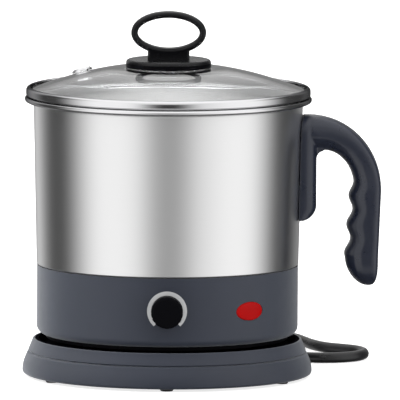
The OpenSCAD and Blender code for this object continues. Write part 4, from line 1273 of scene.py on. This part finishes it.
    def pad_rings(self):
        """Pad that follows the pot's wall, rounded in front and below and turned in like the arm above."""
        size = sizes()
        end, side, clear, least_wall, least_face = 9.0, 7.2, 0.2, 0.4, 0.1
        end_steps, side_steps, top_steps, last = 10, 20, 14, 0.998
        corner_steps, wall_steps = 8, 16
        under, turn_high = self.top - self.pad_high, self.arm_thick / 2
        full_from, full_to = under + end, self.top - turn_high
        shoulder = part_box("shell_seal")[1].z / MM
        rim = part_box("pot")[1]
        wall_top = (rim.x - size.bead - size.ledge - size.flare) / MM
        flare = (rim.z - size.bead - size.sheet / 2 - size.flare) / MM
        heights = [under + end * (1 - math.cos(math.pi / 2 * k / end_steps)) for k in range(end_steps + 1)]
        heights += [full_from + (full_to - full_from) * k / side_steps for k in range(1, side_steps + 1)]
        heights += [full_to + turn_high * last * math.sin(math.pi / 2 * k / top_steps)
                    for k in range(1, top_steps + 1)]
        rings = []
        for z in heights:
            above, below = max(0, z - full_to) / turn_high, max(0, full_from - z)
            half = self.pad_wide / 2 * self.closing(above, self.soft_edge, 1 / self.soft_edge)
            front = self.pad_face - end + math.sqrt(end * end - below * below)
            wall = wall_top - size.draft / MM * (flare - z) / (flare - shoulder) + clear
            corner = min(side, front - wall - least_wall, half - least_face)
            ring = arc((front - corner, corner - half), corner, -90, 0, corner_steps)
            ring += arc((front - corner, half - corner), corner, 0, 90, corner_steps)
            for k in range(wall_steps + 1):
                y = half * (1 - 2 * k / wall_steps)
                ring.append((math.sqrt(wall * wall - y * y), y))
            rings.append([(x, y, z) for x, y in ring])
        return rings

    def fillet(self):
        """Soft corner under the arm, where it leaves the pad."""
        radius, wide, into_pad, into_arm = 4.5, 15.0, 2.0, 3.0
        back, front, under = self.pad_face - into_pad, self.pad_face + radius, self.arm_under
        outline = ([(back, under - radius)] + arc((front, under - radius), radius, 180, 90, 10)
                   + [(front, under + into_arm), (back, under + into_arm)])
        return loft("fillet", [[Vector((x, y, z)) * MM for x, z in outline] for y in (-wide / 2, wide / 2)])


# Lid

class Dome:
    """Top face of the lid's glass: a dome that runs on straight into the band"""

    # Radius where the glass starts to stand over a plain dome
    bulge_from = 0.019

    def __init__(self):
        size = sizes()
        low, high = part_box("lid_glass")
        rise = high.z - low.z - size.glass
        self.radius = ((high.x - size.glass_flat) ** 2 + rise ** 2) / (2 * rise)
        self.centre = high.z - self.radius
        self.cone, self.bulge = size.glass_cone, size.glass_bulge

    def height(self, radius):
        """Height of the top face at a radius."""
        inside = min(radius, self.cone)
        cap = math.sqrt(self.radius ** 2 - inside ** 2)
        bulge = self.bulge * ease((inside - self.bulge_from) / self.bulge_from)
        return self.centre + cap + bulge - (radius - inside) * inside / cap


class KETTLE_OT_lid(bpy.types.Operator):
    """Glass lid with its steel band and vent eyelet"""

    bl_idname = "kettle.lid"
    bl_label = "Glass lid"

    def execute(self, context):
        size = sizes()
        low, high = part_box("lid_glass")
        dome, radius = Dome(), high.x
        screw_hole, vent_hole, drill_reach = 0.003, 0.0035, 0.016
        under_lip, edge, edge_turn, steps = 0.0022, 0.0012, 80, 60
        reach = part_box("lid_rim")[1].x - under_lip
        upper = [screw_hole + (reach - screw_hole) * k / steps for k in range(steps + 1)]
        outline = [(r, dome.height(r)) for r in upper]
        outline += arc((radius - edge, outline[-1][1] - edge), edge, edge_turn, 0, 6)
        outline += arc((radius - edge, low.z + edge), edge, 0, -edge_turn, 6)
        outline += [(r, max(low.z, dome.height(r) - size.glass)) for r in reversed(upper)]
        whole = lathe("lid_glass", outline, steps=200, sharp=45)
        way = Vector((math.cos(size.vent_turn), math.sin(size.vent_turn), 0))
        slope = math.asin(size.vent_out / dome.radius)
        tilt = way * math.sin(slope) + Vector((0, 0, math.cos(slope)))
        seat = way * size.vent_out + Vector((0, 0, dome.height(size.vent_out)))
        drill = rod("drill", seat - tilt * drill_reach / 2, tilt, vent_hole, drill_reach)
        glass = combined(whole, [drill], "DIFFERENCE", sharp=45)
        add_piece("glass_dome", glass, "lid", ["lid_glass"], "lid_glass")
        self.add_band()
        self.add_eyelet(seat, tilt)
        return {"FINISHED"}

    def add_band(self):
        """Band round the glass, with a lip over it and a skirt that hangs into the pot."""
        size = sizes()
        low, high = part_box("lid_rim")
        clear, skirt_inset, lip, lip_sunk = 0.0003, 0.0057, 0.0024, 0.0005
        outer, seat = high.x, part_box("pot")[1].z + clear
        skirt_out = outer - skirt_inset
        skirt_in = skirt_out - size.band
        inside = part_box("lid_glass")[0].z
        under = high.z - lip_sunk - size.band
        corners = [
            (skirt_in, low.z, 0.0002), (skirt_out, low.z, 0.0002), (skirt_out, seat, 0.0003),
            (outer, seat, 0.0012), (outer, high.z, 0.0021), (outer - lip, high.z, 0.0001),
            (outer - lip, under, 0.0001), (outer - size.band, under, 0.0002),
            (outer - size.band, inside, 0.0003), (skirt_in, inside, 0.0003)]
        mesh = lathe("lid_band", rounded(corners, 8), steps=240, sharp=50)
        add_piece("lid_band", mesh, "lid", ["lid_rim"], "brushed_steel", "rolled_steel")
        mesh.materials.append(finish("satin_steel"))
        for face in mesh.polygons:
            face.material_index = int(face.center.z < seat)

    def add_eyelet(self, seat, tilt):
        """Eyelet through the glass, with a crown outside and a flange inside."""
        size = sizes()
        bore, neck, lift = 0.0017, 0.0034, 0.0001
        crown_wide, crown_high, crown_side, crown_bevel, mouth = 0.0062, 0.0021, 0.00105, 0.0013, 0.0008
        flange_wide, flange_thick = 0.0052, 0.0014
        glass_under, top = -size.glass - lift, lift + crown_high
        corners = [
            (bore, glass_under - flange_thick, 0.0003), (flange_wide, glass_under - flange_thick, 0.0005),
            (flange_wide, glass_under, 0.0001), (neck, glass_under, 0), (neck, lift, 0),
            (crown_wide, lift, 0.00015), (crown_wide, lift + crown_side, 0.0004),
            (crown_wide - crown_bevel, top, 0.001), (bore + mouth, top, 0.0007), (bore, lift, 0.0002)]
        mesh = lathe("vent", rounded(corners, 4), steps=72, sharp=50)
        side = tilt.orthogonal().normalized()
        up = tilt.cross(side)
        turned(mesh, lambda p: seat + side * p.x + up * p.y + tilt * p.z)
        add_piece("vent_ring", mesh, "lid", ["vent_eyelet"], "brushed_steel", "polished_steel")


class KETTLE_OT_lid_knob(bpy.types.Operator):
    """Black loop knob on its round foot"""

    bl_idname = "kettle.lid_knob"
    bl_label = "Lid knob"

    loop_wide = 0.045
    neck_wide = 0.025

    def execute(self, context):
        low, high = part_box("lid_knob")
        foot_top = low.z + sizes().knob_foot
        mesh = combined(self.foot(low, high, foot_top), [self.neck(foot_top), self.loop(foot_top, high.z)])
        add_piece("lid_knob_loop", mesh, "lid", ["lid_knob"], "black_plastic")
        # Painted shade: the lower half of the foot is the same black plastic without its reflections,
        # standing in for the shade under the knob
        mesh.materials.append(finish("dull_black"))
        for face in mesh.polygons:
            face.material_index = int(face.center.z < (low.z + foot_top) / 2)
        return {"FINISHED"}

    def foot(self, low, high, foot_top):
        """Round foot, hollow over the gasket, with an underside that follows the glass."""
        dome, gasket = Dome(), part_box("knob_gasket")[1]
        glass_clear, gasket_clear, recess_clear, edge, steps = 0.00012, 0.00005, 0.0003, 0.0004, 12
        radius, bend = high.x, sizes().knob_foot / 2
        recess, recess_top = gasket.x + recess_clear, gasket.z + gasket_clear
        brim = radius - edge
        outline = [(0, recess_top), (recess, recess_top)]
        for k in range(steps):
            out = recess + (brim - recess) * k / steps
            outline.append((out, dome.height(out) + glass_clear))
        outline += arc((brim, dome.height(radius) + glass_clear + edge), edge, -90, 0, 6)
        outline += arc((radius - bend, low.z + bend), bend, 0, 90, 10)
        return lathe("lid_knob", outline + [(0, foot_top)])

    def loop(self, foot_top, top):
        """Oval loop with a flattened tube."""
        size = sizes()
        steps, tube_steps, power = 120, 32, 2.8
        start = foot_top + size.knob_neck
        middle = (start + top) / 2
        half_wide, half_high = (self.loop_wide - size.loop_tube) / 2, (top - start - size.loop_tube) / 2
        rings = []
        for i in range(steps):
            turn = -2 * math.pi * i / steps
            way = Vector((half_high * math.cos(turn), half_wide * math.sin(turn))).normalized()
            ring = []
            for k in range(tube_steps):
                around = 2 * math.pi * k / tube_steps
                out = size.loop_tube / 2 * squared(math.cos(around), power)
                ring.append((half_wide * math.cos(turn) + way.x * out,
                             size.loop_depth / 2 * squared(math.sin(around), power),
                             middle + half_high * math.sin(turn) + way.y * out))
            rings.append(ring)
        return loft("loop", rings, closed=True)

    def neck(self, foot_top):
        """Block between foot and loop, a little thinner than the loop."""
        size = sizes()
        inset, corner, into_foot, into_loop = 0.0002, 0.0015, 0.001, 0.8
        wide, deep = self.neck_wide / 2, size.loop_depth / 2 - inset
        outline = rounded([(-wide, -deep, corner), (wide, -deep, corner), (wide, deep, corner),
                           (-wide, deep, corner)], 6)
        ends = (foot_top - into_foot, foot_top + size.knob_neck + size.loop_tube * into_loop)
        return loft("neck", [[(x, y, z) for x, y in outline] for z in ends])


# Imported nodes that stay

class KETTLE_OT_packed(bpy.types.Operator):
    """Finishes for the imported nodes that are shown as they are"""

    bl_idname = "kettle.packed"
    bl_label = "Packed pieces"

    # Painted shade: the bottom cover loses its reflections and the zinc cover screws are shown dull black,
    # standing in for the shade in the gap under the kettle; the base cover takes the body plastic with its
    # painted dark dish
    painted_shade_looks = {"bottom_cover": "dull_black", "cover_screws": "dull_black", "base_cover": "base_plastic_painted_shade"}

    def execute(self, context):
        slots = {part["node"]: part["material_slot"] for part in frame["record"]["subparts"]}
        soften = self.soft_edges()
        for name, node in frame["nodes"].items():
            if node.hide_render:
                continue
            node.data.materials.clear()
            node.data.materials.append(finish(self.painted_shade_looks.get(name, slots[name])))
            node.modifiers.new("even shading", "NODES").node_group = soften
        return {"FINISHED"}

    def soft_edges(self):
        """Node group that shades curved faces evenly and keeps real edges crisp."""
        crisp_from, same_point = math.radians(28), 1e-6
        group = bpy.data.node_groups.new("even_shading", "GeometryNodeTree")
        group.interface.new_socket("Geometry", in_out="INPUT", socket_type="NodeSocketGeometry")
        group.interface.new_socket("Geometry", in_out="OUTPUT", socket_type="NodeSocketGeometry")
        start = group.nodes.new("NodeGroupInput")
        weld = group.nodes.new("GeometryNodeMergeByDistance")
        weld.inputs["Distance"].default_value = same_point
        bare = group.nodes.new("GeometryNodeRemoveAttribute")
        bare.inputs["Name"].default_value = "custom_normal"
        bend = group.nodes.new("GeometryNodeInputMeshEdgeAngle")
        gentle = group.nodes.new("FunctionNodeCompare")
        gentle.operation = "LESS_THAN"
        gentle.inputs["B"].default_value = crisp_from
        faces = group.nodes.new("GeometryNodeSetShadeSmooth")
        faces.domain = "FACE"
        edges = group.nodes.new("GeometryNodeSetShadeSmooth")
        edges.domain = "EDGE"
        end = group.nodes.new("NodeGroupOutput")
        for source, target in (
                (start.outputs[0], weld.inputs["Geometry"]),
                (weld.outputs["Geometry"], bare.inputs["Geometry"]),
                (bare.outputs["Geometry"], faces.inputs["Geometry"]),
                (faces.outputs["Geometry"], edges.inputs["Geometry"]),
                (bend.outputs["Unsigned Angle"], gentle.inputs["A"]),
                (gentle.outputs["Result"], edges.inputs["Shade Smooth"]),
                (edges.outputs["Geometry"], end.inputs[0])):
            group.links.new(source, target)
        return group


class KETTLE_PT_panel(bpy.types.Panel):
    """Lists the kettle's steps and settings"""

    bl_label = "Electric multi kettle"
    bl_idname = "KETTLE_PT_panel"
    bl_space_type = "VIEW_3D"
    bl_region_type = "UI"
    bl_category = "Kettle"

    def draw(self, context):
        for step in STEPS:
            self.layout.operator(step.bl_idname)
        for settings, group in GROUPS:
            box = self.layout.box()
            for name in group.__annotations__:
                box.prop(getattr(context.scene, settings), name)


STEPS = (
    KETTLE_OT_stage, KETTLE_OT_lead, KETTLE_OT_pot, KETTLE_OT_dial, KETTLE_OT_lamp, KETTLE_OT_handle,
    KETTLE_OT_lid, KETTLE_OT_lid_knob, KETTLE_OT_packed)
GROUPS = (("kettle_sizes", KettleSizes), ("kettle_colours", KettleColours), ("kettle_studio", KettleStudio))


def register():
    for name, group in GROUPS:
        bpy.utils.register_class(group)
        setattr(bpy.types.Scene, name, PointerProperty(type=group))
    for step in STEPS + (KETTLE_PT_panel,):
        bpy.utils.register_class(step)


def unregister():
    for step in STEPS + (KETTLE_PT_panel,):
        bpy.utils.unregister_class(step)
    for name, group in GROUPS:
        delattr(bpy.types.Scene, name)
        bpy.utils.unregister_class(group)


def main():
    register()
    bpy.ops.kettle.stage()
    bpy.ops.kettle.lead()
    bpy.ops.kettle.pot()
    bpy.ops.kettle.dial()
    bpy.ops.kettle.lamp()
    bpy.ops.kettle.handle()
    bpy.ops.kettle.lid()
    bpy.ops.kettle.lid_knob()
    bpy.ops.kettle.packed()


if __name__ == "__main__":
    main()
